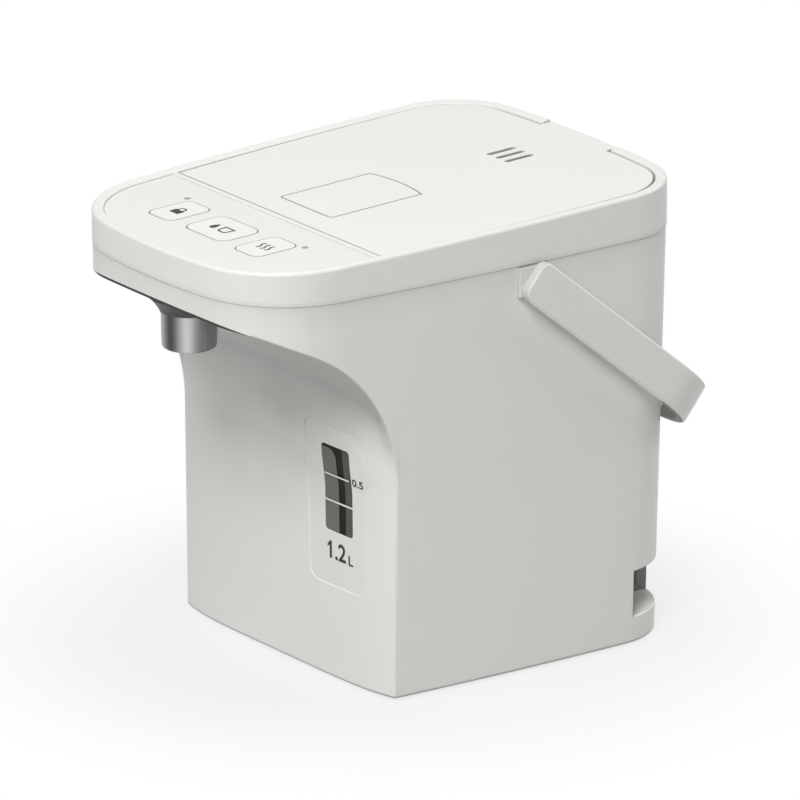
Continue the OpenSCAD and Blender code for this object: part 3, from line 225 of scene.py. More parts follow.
def moved(loop, d):
    """A closed flat loop, anticlockwise, moved inwards by d."""
    out = []
    for i, p in enumerate(loop):
        a, b = loop[i - 1], loop[(i + 1) % len(loop)]
        u = Vector((p[0] - a[0], p[1] - a[1])).normalized()
        v = Vector((b[0] - p[0], b[1] - p[1])).normalized()
        n, m = Vector((-u.y, u.x)), Vector((-v.y, v.x))
        k = d / max(0.3, 1 + n.dot(m))
        out.append((p[0] + (n.x + m.x) * k, p[1] + (n.y + m.y) * k))
    return out


def inside(p, loop):
    hit = False
    for (ax, ay), (bx, by) in zip(loop, loop[1:] + loop[:1]):
        if (ay > p[1]) != (by > p[1]) and p[0] < (bx - ax) * (p[1] - ay) / (by - ay) + ax:
            hit = not hit
    return hit


def filled(outer, holes=(), extra=()):
    """Triangles, as point triples, of a flat loop with holes and extra inner points."""
    pts, edges = [], []
    for loop in (outer, *holes):
        n = len(pts)
        pts += [Vector((p[0], p[1])) for p in loop]
        edges += [(n + i, n + (i + 1) % len(loop)) for i in range(len(loop))]
    pts += [Vector(p) for p in extra]
    found, _, faces, *_ = delaunay_2d_cdt(pts, edges, [], 1, 1e-5)
    out = []
    for f in faces:
        mid = [sum(found[i][k] for i in f) / len(f) for k in (0, 1)]
        if inside(mid, outer) and not any(inside(mid, h) for h in holes):
            out.append([(found[i][0], found[i][1]) for i in f])
    return out


def rounded(x0, x1, y0, y1, r, n=6):
    """Rounded rectangle as an anticlockwise loop."""
    loop = []
    corners = ((x1 - r, y0 + r, -90), (x1 - r, y1 - r, 0), (x0 + r, y1 - r, 90), (x0 + r, y0 + r, 180))
    for cx, cy, start in corners:
        for i in range(n + 1):
            a = math.radians(start + 90 * i / n)
            loop.append((cx + r * math.cos(a), cy + r * math.sin(a)))
    return loop


def dense(loop, step=3.0):
    """Adds points along the long edges of a loop."""
    out = []
    for (ax, ay), (bx, by) in zip(loop, loop[1:] + loop[:1]):
        n = max(1, math.ceil(math.hypot(bx - ax, by - ay) / step))
        out += [(ax + (bx - ax) * i / n, ay + (by - ay) * i / n) for i in range(n)]
    return out


def clipped(loop, left, right):
    """Part of a convex loop between two upright lines."""
    for value, keep in ((left, 1), (right, -1)):
        out = []
        for p, q in zip(loop, loop[1:] + loop[:1]):
            a, b = keep * (p[0] - value), keep * (q[0] - value)
            if a >= 0:
                out.append(p)
            if a * b < 0:
                t = a / (a - b)
                out.append((value, p[1] + (q[1] - p[1]) * t))
        loop = out
    return loop


def ring(cx, cy, r, n=48):
    return [(cx + r * math.cos(TAU * i / n), cy + r * math.sin(TAU * i / n)) for i in range(n)]


def quarter(steps):
    """A quarter turn in steps, as pairs of 1 - sine and 1 - cosine."""
    turns = [math.pi / 2 * k / steps for k in range(steps + 1)]
    return [(1 - math.sin(a), 1 - math.cos(a)) for a in turns]


def heading(line, i):
    """Direction of an open line at its point i, seen from above."""
    a, b = line[max(i - 1, 0)], line[min(i + 1, len(line) - 1)]
    return Vector((b[0] - a[0], b[1] - a[1])).normalized()


def flipped(points):
    """The same points on the other side of the middle, in reverse order."""
    return [(-p[0], *p[1:]) for p in points[::-1]]


def plate_edge(skin, loop, out, top, low, edge, steps, groove):
    """Rounded edge and side wall of a plate; out is 1 along its outline and -1 round a hole."""
    rows = [[(x, y, top(x, y) - edge * drop) for x, y in moved(loop, out * edge * inset)]
            for inset, drop in quarter(steps)]
    rows.append([(x, y, max(low(x, y), top(x, y) - edge - GROOVE_DEPTH)) for x, y in loop])
    face_paint = skin.paint
    skin.paint = face_paint if groove is None else groove
    skin.grid(rows, closed=True)
    skin.paint = face_paint
    skin.grid([rows[-1], [(x, y, low(x, y)) for x, y in loop]], closed=True)


def plate(skin, outer, holes, top, low, edge, steps=4, bottom=True, groove=None):
    """A plate between the heights top(x, y) and low(x, y), with rounded upper edges.

    The finish of the number groove, painted shade of the gaps, covers the edges and GROOVE_DEPTH below
    them.
    """
    skin.fill(lambda x, y: (x, y, top(x, y)), moved(outer, edge), [moved(h, -edge) for h in holes])
    plate_edge(skin, outer, 1, top, low, edge, steps, groove)
    for h in holes:
        plate_edge(skin, h, -1, top, low, edge, steps, groove)
    if bottom:
        skin.fill(lambda x, y: (x, y, low(x, y)), outer, holes)


def block(skin, x0, x1, y0, y1, z0, z1, soft):
    """Box with rounded edges."""
    low = [(x0, y0, z0), (x1, y0, z0), (x1, y1, z0), (x0, y1, z0)]
    high = [(x, y, z1) for x, y, _ in low]
    skin.face(*low)
    skin.face(*high)
    skin.grid([low, high], closed=True)
    for loop in (low, high):
        skin.soften(loop, soft, closed=True)
    for corner in zip(low, high):
        skin.soften(corner, soft)


def lathe_x(skin, y, z, profile, n=40):
    """Turns a profile of (radius, x) about a level axis along X."""
    skin.grid([[(x, *p) for p in ring(y, z, r, n)] for r, x in profile], closed=True)


# ---- the outline of the body, as arcs that run into each other ----

def meet(c1, r1, c2, r2, side):
    """Point at r1 from one centre and r2 from another, on one side of the line between them."""
    d = c2 - c1
    u = d.normalized()
    along = (r1 * r1 - r2 * r2 + d.length ** 2) / (2 * d.length)
    off = math.sqrt(r1 * r1 - along * along)
    return c1 + u * along + Vector((-u.y, u.x)) * off * side


def arcs(side_in, back_in=None):
    """Centre, radius and end angles of the right half's five arcs, from nose to back."""
    back_in = side_in if back_in is None else back_in
    rn, rb = NOSE_CORNER_R - side_in, BACK_CORNER_R - side_in
    big_n, big_s, big_b = (r - side_in for r in (NOSE_BOW_R, SIDE_BOW_R, BACK_BOW_R))
    cn, cs = Vector((0, NOSE_BOW_R - NOSE_REACH)), Vector((HALF_W - SIDE_BOW_R, WIDEST_Y))
    cb = Vector((0, BACK_REACH - back_in - big_b))
    nose = min((meet(cn, big_n - rn, cs, big_s - rn, k) for k in (1, -1)), key=lambda p: p.y)
    rear = max((meet(cs, big_s - rb, cb, big_b - rb, k) for k in (1, -1)), key=lambda p: p.y)
    joins = [cn - Vector((0, big_n)), cn + (nose - cn).normalized() * big_n,
             cs + (nose - cs).normalized() * big_s, cs + (rear - cs).normalized() * big_s,
             cb + (rear - cb).normalized() * big_b, cb + Vector((0, big_b))]
    centres = ((cn, big_n), (nose, rn), (cs, big_s), (rear, rb), (cb, big_b))
    out = []
    for (c, r), p, q in zip(centres, joins, joins[1:]):
        out.append((c, r, math.atan2(p.y - c.y, p.x - c.x), math.atan2(q.y - c.y, q.x - c.x)))
    return out


def on_arcs(found, s):
    """Point at station s: the arc's number plus the way along it."""
    k = min(int(s), 4)
    c, r, a, b = found[k]
    t = a + (b - a) * (s - k)
    return c.x + r * math.cos(t), c.y + r * math.sin(t)


def station(point, axis, value, low=0.0, high=5.0):
    """Station where a coordinate of point(s) takes a value."""
    rising = point(high)[axis] > point(low)[axis]
    for _ in range(50):
        mid = (low + high) / 2
        if (point(mid)[axis] < value) == rising:
            low = mid
        else:
            high = mid
    return (low + high) / 2


def stations(counts):
    """Stations from nose to back, with a number of steps on each arc."""
    out = [k + i / n for k, n in enumerate(counts) for i in range(n)]
    return out + [5.0]


def mirrored(right):
    """Whole closed loop from its right half, nose to back, anticlockwise."""
    return right + flipped(right[1:-1])


SEAM_ARCS = arcs(SEAM_STEP)
TABLE_ARCS = arcs(SEAM_STEP + SIDE_LEAN, SEAM_STEP + BACK_LEAN)


def wall(s, z):
    """Point of the leaning body wall at a station and a height."""
    a, b = on_arcs(SEAM_ARCS, s), on_arcs(TABLE_ARCS, s)
    t = (SEAM_Z - z) / (SEAM_Z - SKIRT_Z)
    return a[0] + (b[0] - a[0]) * t, a[1] + (b[1] - a[1]) * t, z


def rim_z(y):
    return RIM_Z + y * RIM_SLOPE


def lid_z(y):
    return LID_Z + y * LID_SLOPE


def under_lid(drop):
    """Heights at a drop under the lid's upper side."""
    return lambda x, y: lid_z(y) - drop


def on_lid(drop):
    """Places flat points at a drop under the lid's upper side."""
    return lambda x, y: (x, y, lid_z(y) - drop)


def level(z):
    """Places flat points at one height."""
    return lambda x, y: (x, y, z)


COVE_Y = -COVE_FOOT - COVE_R
TURN = math.pi / 2 - RAMP
RAMP_Y = COVE_Y + COVE_R * math.cos(TURN)
RAMP_Z = COVE_Z + COVE_R * math.sin(TURN)


def cove_y(z):
    return -COVE_FOOT if z < COVE_Z else COVE_Y + math.sqrt(COVE_R ** 2 - (z - COVE_Z) ** 2)


def ramp_z(y):
    return RAMP_Z + (RAMP_Y - y) * math.tan(RAMP)


def front_y(x, z):
    """Front wall, which runs softly into the cove under the nose."""
    bow = BOW_DEPTH * (abs(x) / BOW_HALF) ** BOW_POWER
    a, b = -FRONT_WALL - z * FRONT_SLOPE + bow, cove_y(z)
    rise = min(1, max(0, (z - BLEND_LOW) / BLEND_RISE))
    side = max(0, 1 - (abs(x) / BLEND_HALF) ** BLEND_POWER)
    k = 0.01 + BLEND_DEPTH * rise * rise * (3 - 2 * rise) * side
    h = max(k - abs(a - b), 0) / k
    return min(a, b) - h * h * k / 4


def on_front(depth):
    """Places points of x and z on the front wall, sunk by depth."""
    return lambda x, z: (x, front_y(x, z) + depth, z)


# ---- body shell ----

LOW_LEVELS = (SKIRT_Z, RECESS_LOW, RECESS_HIGH, 55, 72, 88, COVE_Z)
COVE_LEVELS = (COVE_Z, *range(108, 163, 5), 163, 167, 171, RAMP_Z)
FRONT_LINES = (0, 9, 18, 27, 35, 43, 50, 56, 61, 65.5, 69.5, 73, 76, 78.5)


def body_columns():
    """Stations of the wall: on the nose, along the cove, and behind the front corner."""
    base = stations((6, 14, 14, 14, 6))
    cove = [station(lambda s, z=z: wall(s, z), 1, cove_y(z), 0, 3) for z in COVE_LEVELS]
    foot = station(lambda s: wall(s, FOOT_CUT_Z), 1, -COVE_FOOT, 0, 3)
    cove[0] = foot
    nose = [s for s in base if s < cove[-1] - 2 * NEAR]
    mid = 0.5 * (RECESS_LOW + RECESS_HIGH)
    cuts = [station(lambda s: wall(s, mid), 1, RECESS_Y, 2, 4),
            station(lambda s: wall(s, mid), 0, RECESS_X, 3, 5)]
    rear = [s for s in base if s > foot + 2 * NEAR and all(abs(s - c) > 2 * NEAR for c in cuts)]
    return nose, cove[::-1], sorted(rear + cuts), cuts


def edge_z(s):
    """Height of the nose's lower edge at a station."""
    z = 180.0
    for _ in range(30):
        z = ramp_z(wall(s, z)[1])
    return z


def body_front(skin, cove):
    """Front wall and cove between the two side walls, with the gauge's hole."""
    levels = LOW_LEVELS[:-1] + COVE_LEVELS
    ends = {z: wall(cove[-1], z) for z in LOW_LEVELS[:-1]}
    ends.update({z: wall(s, z) for s, z in zip(cove[::-1], COVE_LEVELS)})
    lines = sorted({-x for x in FRONT_LINES} | set(FRONT_LINES))
    right = [(ends[z][0], z) for z in levels]
    outer = ([(x, levels[0]) for x in lines] + right
             + [(x, levels[-1]) for x in lines[::-1]] + [(-x, z) for x, z in right[::-1]])
    hole = dense(rounded(*GAUGE))
    near = moved(rounded(*GAUGE), -2.5)
    extra = [(x, z) for x in lines for z in levels[1:-1] if not inside((x, z), near)]
    fixed = {(round(ends[z][0], 3), round(z, 3)): ends[z] for z in levels}

    def place(x, z):
        end = fixed.get((round(abs(x), 3), round(z, 3)))
        return (x, end[1] if end else front_y(x, z), z)

    skin.fill(place, outer, [hole], extra)
    skin.sides(hole, on_front(0), on_front(GAUGE_SINK + GAUGE_LAP))
    skin.soften([on_front(0)(*p) for p in hole], 0.22, closed=True)
    low = [place(x, levels[0]) for x in [-right[0][0]] + lines + [right[0][0]]]
    top = [place(x, levels[-1]) for x in lines]
    return low, top


def body_walls(skin, nose, cove, rear, cuts):
    """Side walls: the part above the nose's edge and the cove, and the bands below it."""
    every, lower = nose + cove + rear, [cove[-1]] + rear
    foot = [edge_z(s) for s in nose] + list(COVE_LEVELS[::-1]) + [COVE_Z] * len(rear)
    for side in (1, -1):
        def at(s, z, side=side):
            x, y, _ = wall(s, z)
            return (side * x, y, z)

        rows = [[at(s, z + (SEAM_Z - z) * h) for s, z in zip(every, foot)] for h in (0, 0.5, 1)]
        skin.grid(rows)
        skin.soften(rows[0][:len(nose) + len(cove)], EDGE_SOFT)
        for z0, z1 in zip(LOW_LEVELS, LOW_LEVELS[1:]):
            for s0, s1 in zip(lower, lower[1:]):
                in_recess = z0 == RECESS_LOW and cuts[0] - 1e-9 <= s0 and s1 <= cuts[1] + 1e-9
                if side == -1 or not in_recess:
                    skin.face(at(s0, z0), at(s1, z0), at(s1, z1), at(s0, z1))
        skin.soften([at(cove[-1], z) for z in LOW_LEVELS], EDGE_SOFT)


def nose_lip(skin, rim):
    """Rolled lower edge of the nose, which fades out towards the wall."""
    rows = []
    for inset, drop in NOSE_LIP:
        row = []
        for i, (x, y, _) in enumerate(rim):
            along = heading(rim, i)
            fade = min(1, max(0, (-y - LIP_END) / LIP_FADE))
            u, v = x - inset * along.y, y + inset * along.x
            row.append((max(u, 0), v, ramp_z(v) - drop * fade))
        rows.append(row)
    count = sum(1 for p in rim if -p[1] > LIP_END)
    # The lip takes the dark shade finish, painted shade along the nose's lower edge.
    skin.paint = 2
    for side in (1, -1):
        skin.grid([[(side * x, y, z) for x, y, z in row[:count]] for row in rows])
    skin.paint = 0


def body_ends(skin, nose, cove, rear, low, top):
    """Underside of the nose, the skirt's inner return and the lip under the ring."""
    rim = [wall(s, edge_z(s)) for s in nose] + [wall(cove[0], RAMP_Z)]
    skin.face(*rim, *top[::-1], *flipped(rim))
    nose_lip(skin, rim)
    right = [wall(s, SKIRT_Z) for s in rear]
    loop = low + right + flipped(right[:-1])
    inner = moved([(x, y) for x, y, _ in loop], SHELL_WALL)
    skin.grid([loop] + [[(x, y, z) for x, y in inner] for z in (SKIRT_Z, SKIRT_TOP)], closed=True)
    skin.soften(loop, FOOT_SOFT, closed=True)
    inset = arcs(SEAM_STEP + SHELL_WALL)
    every = nose + cove + rear
    skin.grid([mirrored([wall(s, SEAM_Z) for s in every]),
               mirrored([(*on_arcs(inset, s), SEAM_Z) for s in every])], closed=True)


def recess_lining(skin, rear, cuts):
    """Walls of the plug recess at the lower back corner."""
    path = [s for s in rear if cuts[0] - 1e-9 <= s <= cuts[1] + 1e-9]
    corner = (RECESS_X, RECESS_Y)
    for z in (RECESS_LOW, RECESS_HIGH):
        skin.face(*[wall(s, z) for s in path], (*corner, z))
    # The recess's side walls take the darker recess finish, painted shade.
    skin.paint = 1
    for s in cuts:
        skin.face(wall(s, RECESS_LOW), wall(s, RECESS_HIGH),
                  (*corner, RECESS_HIGH), (*corner, RECESS_LOW))
    skin.paint = 0
    around = [wall(s, RECESS_LOW) for s in path] + [wall(s, RECESS_HIGH) for s in path[::-1]]
    skin.soften(around, 0.5, closed=True)


def handle_pads(skin):
    """Raised pads that the handle turns on."""
    # The pads take the greyer end finish, painted shade; their flat outer faces get the body finish
    # back later.
    skin.paint = 3
    for side in (1, -1):
        x0, x1 = sorted((side * PAD_ROOT, side * PAD_FACE))
        block(skin, x0, x1, PIVOT_Y - PAD_FRONT, PIVOT_Y + PAD_REAR, PAD_LOW, SEAM_Z - SEAM_STEP,
              PAD_SOFT)


def body_shell():
    skin = Skin()
    nose, cove, rear, cuts = body_columns()
    low, top = body_front(skin, cove)
    body_walls(skin, nose, cove, rear, cuts)
    body_ends(skin, nose, cove, rear, low, top)
    recess_lining(skin, rear, cuts)
    handle_pads(skin)
    shell = make("body_shell", skin, ("body", "recess", "shade", "end"), "pot_body",
                 "outer_shell")
    repaint(shell, 3, 0, lambda p: abs(p.normal.x) > 0.8)
    # The pads' tops take the darker recess finish, painted shade along the seam.
    repaint(shell, 3, 1, lambda p: p.normal.z > 0.5)


# ---- shoulder ring ----

def ring_profile():
    """Inset, then height where the third value says so, or else drop under the rim."""
    out = [(SHELL_WALL, SEAM_Z, True), (LOWER_R, SEAM_Z, True)]
    out += [(LOWER_R * s, SEAM_Z + LOWER_R * c, True) for s, c in quarter(3)[1:]]
    out += [(CROWN_R * c, CROWN_R * s, False) for s, c in quarter(5)]
    for s, c in quarter(4):
        inset = RIM_W - INNER_R * s
        out.append((inset, INNER_R * c + CROWN_SLOPE * (inset - CROWN_R), False))
    return out


def ring_column(s, notch, seat, found):
    """Points of the ring at a station, from its lower inner edge over the crown and down."""
    col = []
    for (_, v, is_height), a in zip(ring_profile(), found):
        x, y = on_arcs(a, s)
        z = v if is_height else rim_z(y) - v
        col.append((x, y, min(z, NOTCH_Z) if notch else z))
    x, y = on_arcs(found[-1], s)
    col.append((x, y, DECK_Z if seat else lid_z(y) - FILM_T))
    return col


def lid_seat(skin, edge):
    """Deck under the lid, with the vessel's mouth."""
    mouth = ring(0, VESSEL_Y, MOUTH_R)
    skin.fill(level(DECK_Z), edge + flipped(edge[:-1]), [mouth])
    skin.sides(mouth, level(DECK_Z), level(DECK_Z - DECK_T))


def panel_deck(skin, inner, edge, split_y):
    """Wall that faces the lid, the strip in front of it, and the deck under the panel sheet."""
    half = edge[-1][0]
    # The wall at the split takes the groove finish, painted shade in the gap.
    skin.paint = 1
    skin.across(split_y, half, DECK_Z, lid_z(split_y))
    skin.paint = 0
    back, _ = on_arcs(inner, station(lambda s: on_arcs(inner, s), 1, STRIP_BACK, 1, 3))
    strip = [(-half, split_y), (half, split_y), (back, STRIP_BACK), (-back, STRIP_BACK)]
    skin.face(*[on_lid(0)(*p) for p in strip])
    skin.soften([on_lid(0)(*p) for p in strip[:2]], 0.15)
    skin.across(STRIP_BACK, back, lid_z(STRIP_BACK), lid_z(STRIP_BACK) - FILM_T)
    deck = [p for p in edge if p[1] < STRIP_BACK] + [(back, STRIP_BACK)]
    holes = [button_loop(b, BUTTON_GAP) for b in BUTTONS]
    skin.fill(on_lid(FILM_T), deck + flipped(deck[1:]), holes)
    # The button wells take the groove finish, painted shade in the gaps.
    skin.paint = 1
    for h in holes:
        skin.sides(h, on_lid(FILM_T), on_lid(BUTTON_WELL))


def shoulder_ring():
    skin = Skin()
    found = [arcs(p[0]) for p in ring_profile()]
    plain, inner = arcs(0), found[-1]
    split_y = -SPLIT - SPLIT_GAP / 2
    cut = station(lambda s: on_arcs(inner, s), 1, split_y, 1, 3)
    notch = station(lambda s: on_arcs(plain, s), 0, NOTCH_HALF, 3, 5)
    every = stations((8, 16, 16, 16, 10))
    front = [s for s in every if s < cut - NEAR] + [cut]
    sides = [cut] + [s for s in every if cut + NEAR < s < notch - NEAR] + [notch]
    back = [notch] + [s for s in every if s > notch + NEAR]
    right = ([ring_column(s, False, False, found) for s in front]
             + [ring_column(s, False, True, found) for s in sides]
             + [ring_column(s, True, True, found) for s in back])
    columns = right + [[(-x, y, z) for x, y, z in col] for col in right[-2:0:-1]]
    skin.grid(list(zip(*columns)), closed=True)
    lid_seat(skin, [on_arcs(inner, s) for s in sides + back[1:]])
    panel_deck(skin, inner, [on_arcs(inner, s) for s in front], split_y)
    make("ring_skin", skin, ("body", "groove"), "pot_body", "shoulder_ring")


# ---- control panel ----

def button_loop(b, grow=0.0):
    _, _, x, w, d, r = b
    return rounded(x - w / 2 - grow, x + w / 2 + grow, BUTTON_Y - d / 2 - grow,
                   BUTTON_Y + d / 2 + grow, r + grow, 8)


def panel_sheet():
    skin = Skin()
    edge = arcs(PANEL_INSET)
    end = station(lambda s: on_arcs(edge, s), 1, PANEL_BACK, 1, 3)
    right = [on_arcs(edge, s) for s in stations((8, 20, 20, 4, 4)) if s < end - NEAR]
    right.append(on_arcs(edge, end))
    holes = [button_loop(b, BUTTON_GAP) for b in BUTTONS]
    holes += [ring(side * LAMP_X, LAMP_Y, LAMP_R, 24) for side in (1, -1)]
    plate(skin, right + flipped(right[1:]), holes, under_lid(0), under_lid(FILM_T), 0.2, 2,
          groove=1)
    make("panel_film", skin, ("panel", "groove"), "pot_body", "control_panel")


def stroke(points, half, closed=False):
    """Flat loops of a line of points drawn with a pen: the outer loop and its holes."""
    if closed:
        return moved(points, -half), [moved(points, half)]
    sides = []
    for sign in (1, -1):
        row = []
        for i, (x, y) in enumerate(points):
            along = heading(points, i)
            row.append((x + sign * half * along.y, y - sign * half * along.x))
        sides.append(row)
    return sides[0] + sides[1][::-1], []


def cup_sign(x, y):
    """A drop beside a cup."""
    drop = []
    for i in range(32):
        a = TAU * i / 32
        drop.append((x - 5.2 + 2.4 * math.sin(a) * math.sin(a / 2) ** 1.4, y + 3.2 * math.cos(a)))
    cup = [(x - 0.6, y + 2.6), (x + 0.2, y - 2.2), (x + 0.9, y - 2.9), (x + 4.7, y - 2.9),
           (x + 5.4, y - 2.2), (x + 6.2, y + 2.6)]
    return [(drop[::-1], []), stroke(cup, SIGN_HALF, closed=True)]


def lock_sign(x, y):
    """A closed padlock."""
    arch = [(x + 1.9, y + 0.4)] + [(x + 1.9 * math.cos(math.pi * i / 10),
                                    y + 1.6 + 1.8 * math.sin(math.pi * i / 10))
                                   for i in range(11)] + [(x - 1.9, y + 0.4)]
    return [(rounded(x - 3.2, x + 3.2, y - 3.6, y + 0.6, 0.5, 3), []), stroke(arch, SIGN_HALF)]


def heat_sign(x, y):
    """Three waves side by side."""
    return [stroke([(x + shift + 0.8 * math.sin(TAU * t / 16), y - 3.2 + 6.4 * t / 16)
                    for t in range(17)], SIGN_HALF) for shift in (-3.2, 0, 3.2)]


def button(b, sign):
    name, body, x0, w, d, _ = b

    def top(x, y):
        crown = ((x - x0) / w) ** 2 + ((y - BUTTON_Y) / d) ** 2
        return lid_z(y) + BUTTON_RISE - BUTTON_CROWN * crown

    skin = Skin()
    plate(skin, button_loop(b), [], top, under_lid(BUTTON_T), 0.3, 4, groove=2)
    skin.paint = 1
    for outer, holes in sign(x0, BUTTON_Y):
        skin.fill(on_lid(-BUTTON_RISE - SIGN_T), outer, holes)
    make(name + "_cap", skin, ("button", "print", "groove"), body, name)


# ---- lid ----

def lid_side(s, side, rim_in):
    """Point of the lid's edge at a station, cut back where the lid swings past the ring."""
    x, y = on_arcs(side, s)
    if y > WIDEST_Y + 20:
        up = rim_z(BACK_REACH) - HINGE_Z
        radius = math.hypot(HINGE_Y - on_arcs(rim_in, s)[1], up) + 0.35
        y = min(y, HINGE_Y - math.sqrt(radius ** 2 - (lid_z(y) - HINGE_Z) ** 2))
    return x, y


def lid_loop():
    """Lid outline with the tab over the hinge."""
    side, rim_in, back = arcs(LID_INSET), arcs(RIM_W), arcs(TAB_IN)
    start = station(lambda s: on_arcs(side, s), 1, -SPLIT + SPLIT_GAP / 2, 1, 3)
    stop = station(lambda s: on_arcs(side, s), 0, TAB_HALF, 3, 5)
    tab = station(lambda s: on_arcs(back, s), 0, TAB_HALF, 3, 5)
    along = [start] + [s for s in stations((4, 4, 20, 20, 12)) if start + NEAR < s < stop] + [stop]
    behind = [tab] + [s for s in stations((4, 4, 4, 4, 12)) if s > tab + NEAR]
    right = [lid_side(s, side, rim_in) for s in along] + [on_arcs(back, s) for s in behind]
    return right + flipped(right[:-1])


def lever_loop(grow):
    """Lever outline: straight sides and front, bowed back."""
    r = (LEVER_HALF ** 2 + LEVER_BULGE ** 2) / (2 * LEVER_BULGE)
    half, front, soft = LEVER_HALF + grow, LEVER_FRONT - grow, 1.2 + grow
    back = []
    for i in range(21):
        x = half - 2 * half * i / 20
        back.append((x, LEVER_BACK - r + math.sqrt((r + grow) ** 2 - x * x)))
    corner = [(half - soft, front), (half - soft * 0.3, front + soft * 0.3), (half, front + soft)]
    return flipped(corner) + corner + [(half, TUB_STEP)] + back + [(-half, TUB_STEP)]


def lid_tub(skin, hole):
    """Tub under the lever, deeper behind the step."""
    def floor(x, y):
        return on_lid(TUB_FRONT if y < TUB_STEP - NEAR else TUB_BACK)(x, y)

    skin.sides(hole, on_lid(TUB_TOP), on_lid(TUB_FRONT), floor)
    front = [p for p in hole if p[1] <= TUB_STEP + NEAR]
    back = [p for p in hole if p[1] >= TUB_STEP - NEAR]
    skin.face(*[on_lid(TUB_FRONT)(*p) for p in front])
    skin.face(*[on_lid(TUB_BACK)(*p) for p in back])
    top = lid_z(TUB_STEP)
    skin.across(TUB_STEP, max(p[0] for p in hole), top - TUB_FRONT, top - TUB_BACK)


def lid_slots():
    """Outlines of the three steam slots."""
    half_x, half_y = SLOT_W / 2, SLOT_LEN / 2
    return [rounded(x - half_x, x + half_x, SLOT_Y - half_y, SLOT_Y + half_y, half_x - 0.01, 5)
            for x in (SLOT_X - SLOT_PITCH, SLOT_X, SLOT_X + SLOT_PITCH)]


def lid_skin():
    skin = Skin()
    outer, hole, slots = lid_loop(), lever_loop(LEVER_GAP), lid_slots()
    near_hole = moved(hole, -0.3)

    def low(x, y):
        if inside((x, y), near_hole):
            return lid_z(y) - TUB_TOP
        if abs(x) < LEVER_HALF and abs(y - SLOT_Y) < SLOT_LEN:
            return lid_z(y) - LID_TOP_T
        return TAB_LOW if y > HINGE_Y - 1 and abs(x) < TAB_HALF + 0.1 else LID_LOW

    plate(skin, outer, [hole] + slots, under_lid(0), low, 0.35, 4, bottom=False, groove=1)
    # Dark floors in the slots take the shade finish, painted shade inside them.
    skin.paint = 2
    for slot in slots:
        skin.face(*[on_lid(LID_TOP_T)(*p) for p in slot])
    skin.paint = 0
    inner = moved(outer, LID_WALL)
    skin.grid([[(x, y, low(x, y)) for x, y in outer],
               [(a, b, low(x, y)) for (a, b), (x, y) in zip(inner, outer)],
               [on_lid(LID_TOP_T)(*p) for p in inner]], closed=True)
    lid_tub(skin, hole)
    half, slim = KNUCKLE_HALF, KNUCKLE_R - 0.5
    lathe_x(skin, HINGE_Y, HINGE_Z, [(0.01, -half), (slim, -half), (KNUCKLE_R, 0.5 - half),
                                     (KNUCKLE_R, half - 0.5), (slim, half), (0.01, half)])
    make("lid_skin", skin, ("shell", "groove", "shade"), "lid", "lid_cover")


def lever_plate():
    skin = Skin()
    plate(skin, lever_loop(0), [], under_lid(0), under_lid(LEVER_T), 0.3, 4, groove=1)
    for y in GRIP_LINES:
        bar = rounded(-GRIP_HALF_X, GRIP_HALF_X, y - GRIP_HALF_Y, y + GRIP_HALF_Y, 0.5, 4)
        plate(skin, bar, [], under_lid(-GRIP_RISE), under_lid(0.2), 0.2, 3)
    axle_z = lid_z(LEVER_AXLE_Y) - LEVER_AXLE_DROP
    for side in (1, -1):
        x0, x1 = sorted((side * EYE_IN, side * EYE_OUT))
        eye = [(AXLE_R, x0), (EYE_R, x0), (EYE_R, x1), (AXLE_R, x1)]
        lathe_x(skin, LEVER_AXLE_Y, axle_z, eye, 24)
    make("lever_plate", skin, ("shell", "groove"), "lever", "lid_lever")


# ---- water gauge ----

def gauge_plate():
    skin = Skin()
    outer, hole = dense(rounded(*GAUGE)), dense(rounded(*WINDOW))
    within, around = moved(rounded(*GAUGE), 2), moved(rounded(*WINDOW), -2)
    extra = [(x, z) for x in FRONT_LINES for z in range(54, 122, 4)
             if inside((x, z), within) and not inside((x, z), around)]
    skin.fill(on_front(GAUGE_SINK), outer, [hole], extra)
    skin.sides(hole, on_front(GAUGE_SINK), on_front(GAUGE_SINK + GLASS_SINK))
    skin.soften([on_front(GAUGE_SINK)(*p) for p in hole], 0.2, closed=True)
    make("gauge_plate", skin, ("panel",), "pot_body", "gauge_panel")


def channel(window):
    """Outline of the tube's channel: the window's left part, with a round upper corner."""
    left, _, low, high, _ = WINDOW
    part = [p for p in clipped(window, left, CHANNEL_RIGHT) if p[1] < high - CHANNEL_ROUND]
    turn = [(CHANNEL_RIGHT - CHANNEL_ROUND * c, CHANNEL_TOP - CHANNEL_ROUND * s)
            for s, c in quarter(8)]
    x, z = (left + CHANNEL_RIGHT) / 2, (low + high) / 2
    return sorted(part + turn + [(left, CHANNEL_TOP)],
                  key=lambda p: math.atan2(p[1] - z, p[0] - x))


def lay(skin, shape, depth):
    """Lays a flat shape of the window on the curved wall, strip by strip."""
    rows = [WINDOW[2], *range(int(WINDOW[2]) + 3, int(WINDOW[3]), 3), WINDOW[3]]
    for low, high in zip(rows, rows[1:]):
        strip = clipped([(z, x) for x, z in shape], low, high)
        skin.face(*[on_front(depth)(x, z) for z, x in strip])


def gauge_pane():
    """Window pane with what shows through it, and two level marks."""
    skin = Skin()
    window = rounded(*WINDOW)
    lay(skin, window, GAUGE_SINK + PANE_SINK)
    for paint, shape in ((1, channel(window)), (2, clipped(window, SIDE_LEFT, WINDOW[1]))):
        skin.paint = paint
        lay(skin, shape, GAUGE_SINK + PANE_SINK - 0.04)
    skin.paint = 3
    for z, left, right in MARKS:
        skin.grid([[on_front(GAUGE_SINK - PRINT_T)(left + (right - left) * i / 6, h)
                    for i in range(7)] for h in (z - MARK_HALF, z + MARK_HALF)])
    make("gauge_pane", skin, ("gauge_black", "gauge_grey", "gauge_side", "mark"), "pot_body",
         "gauge_window")


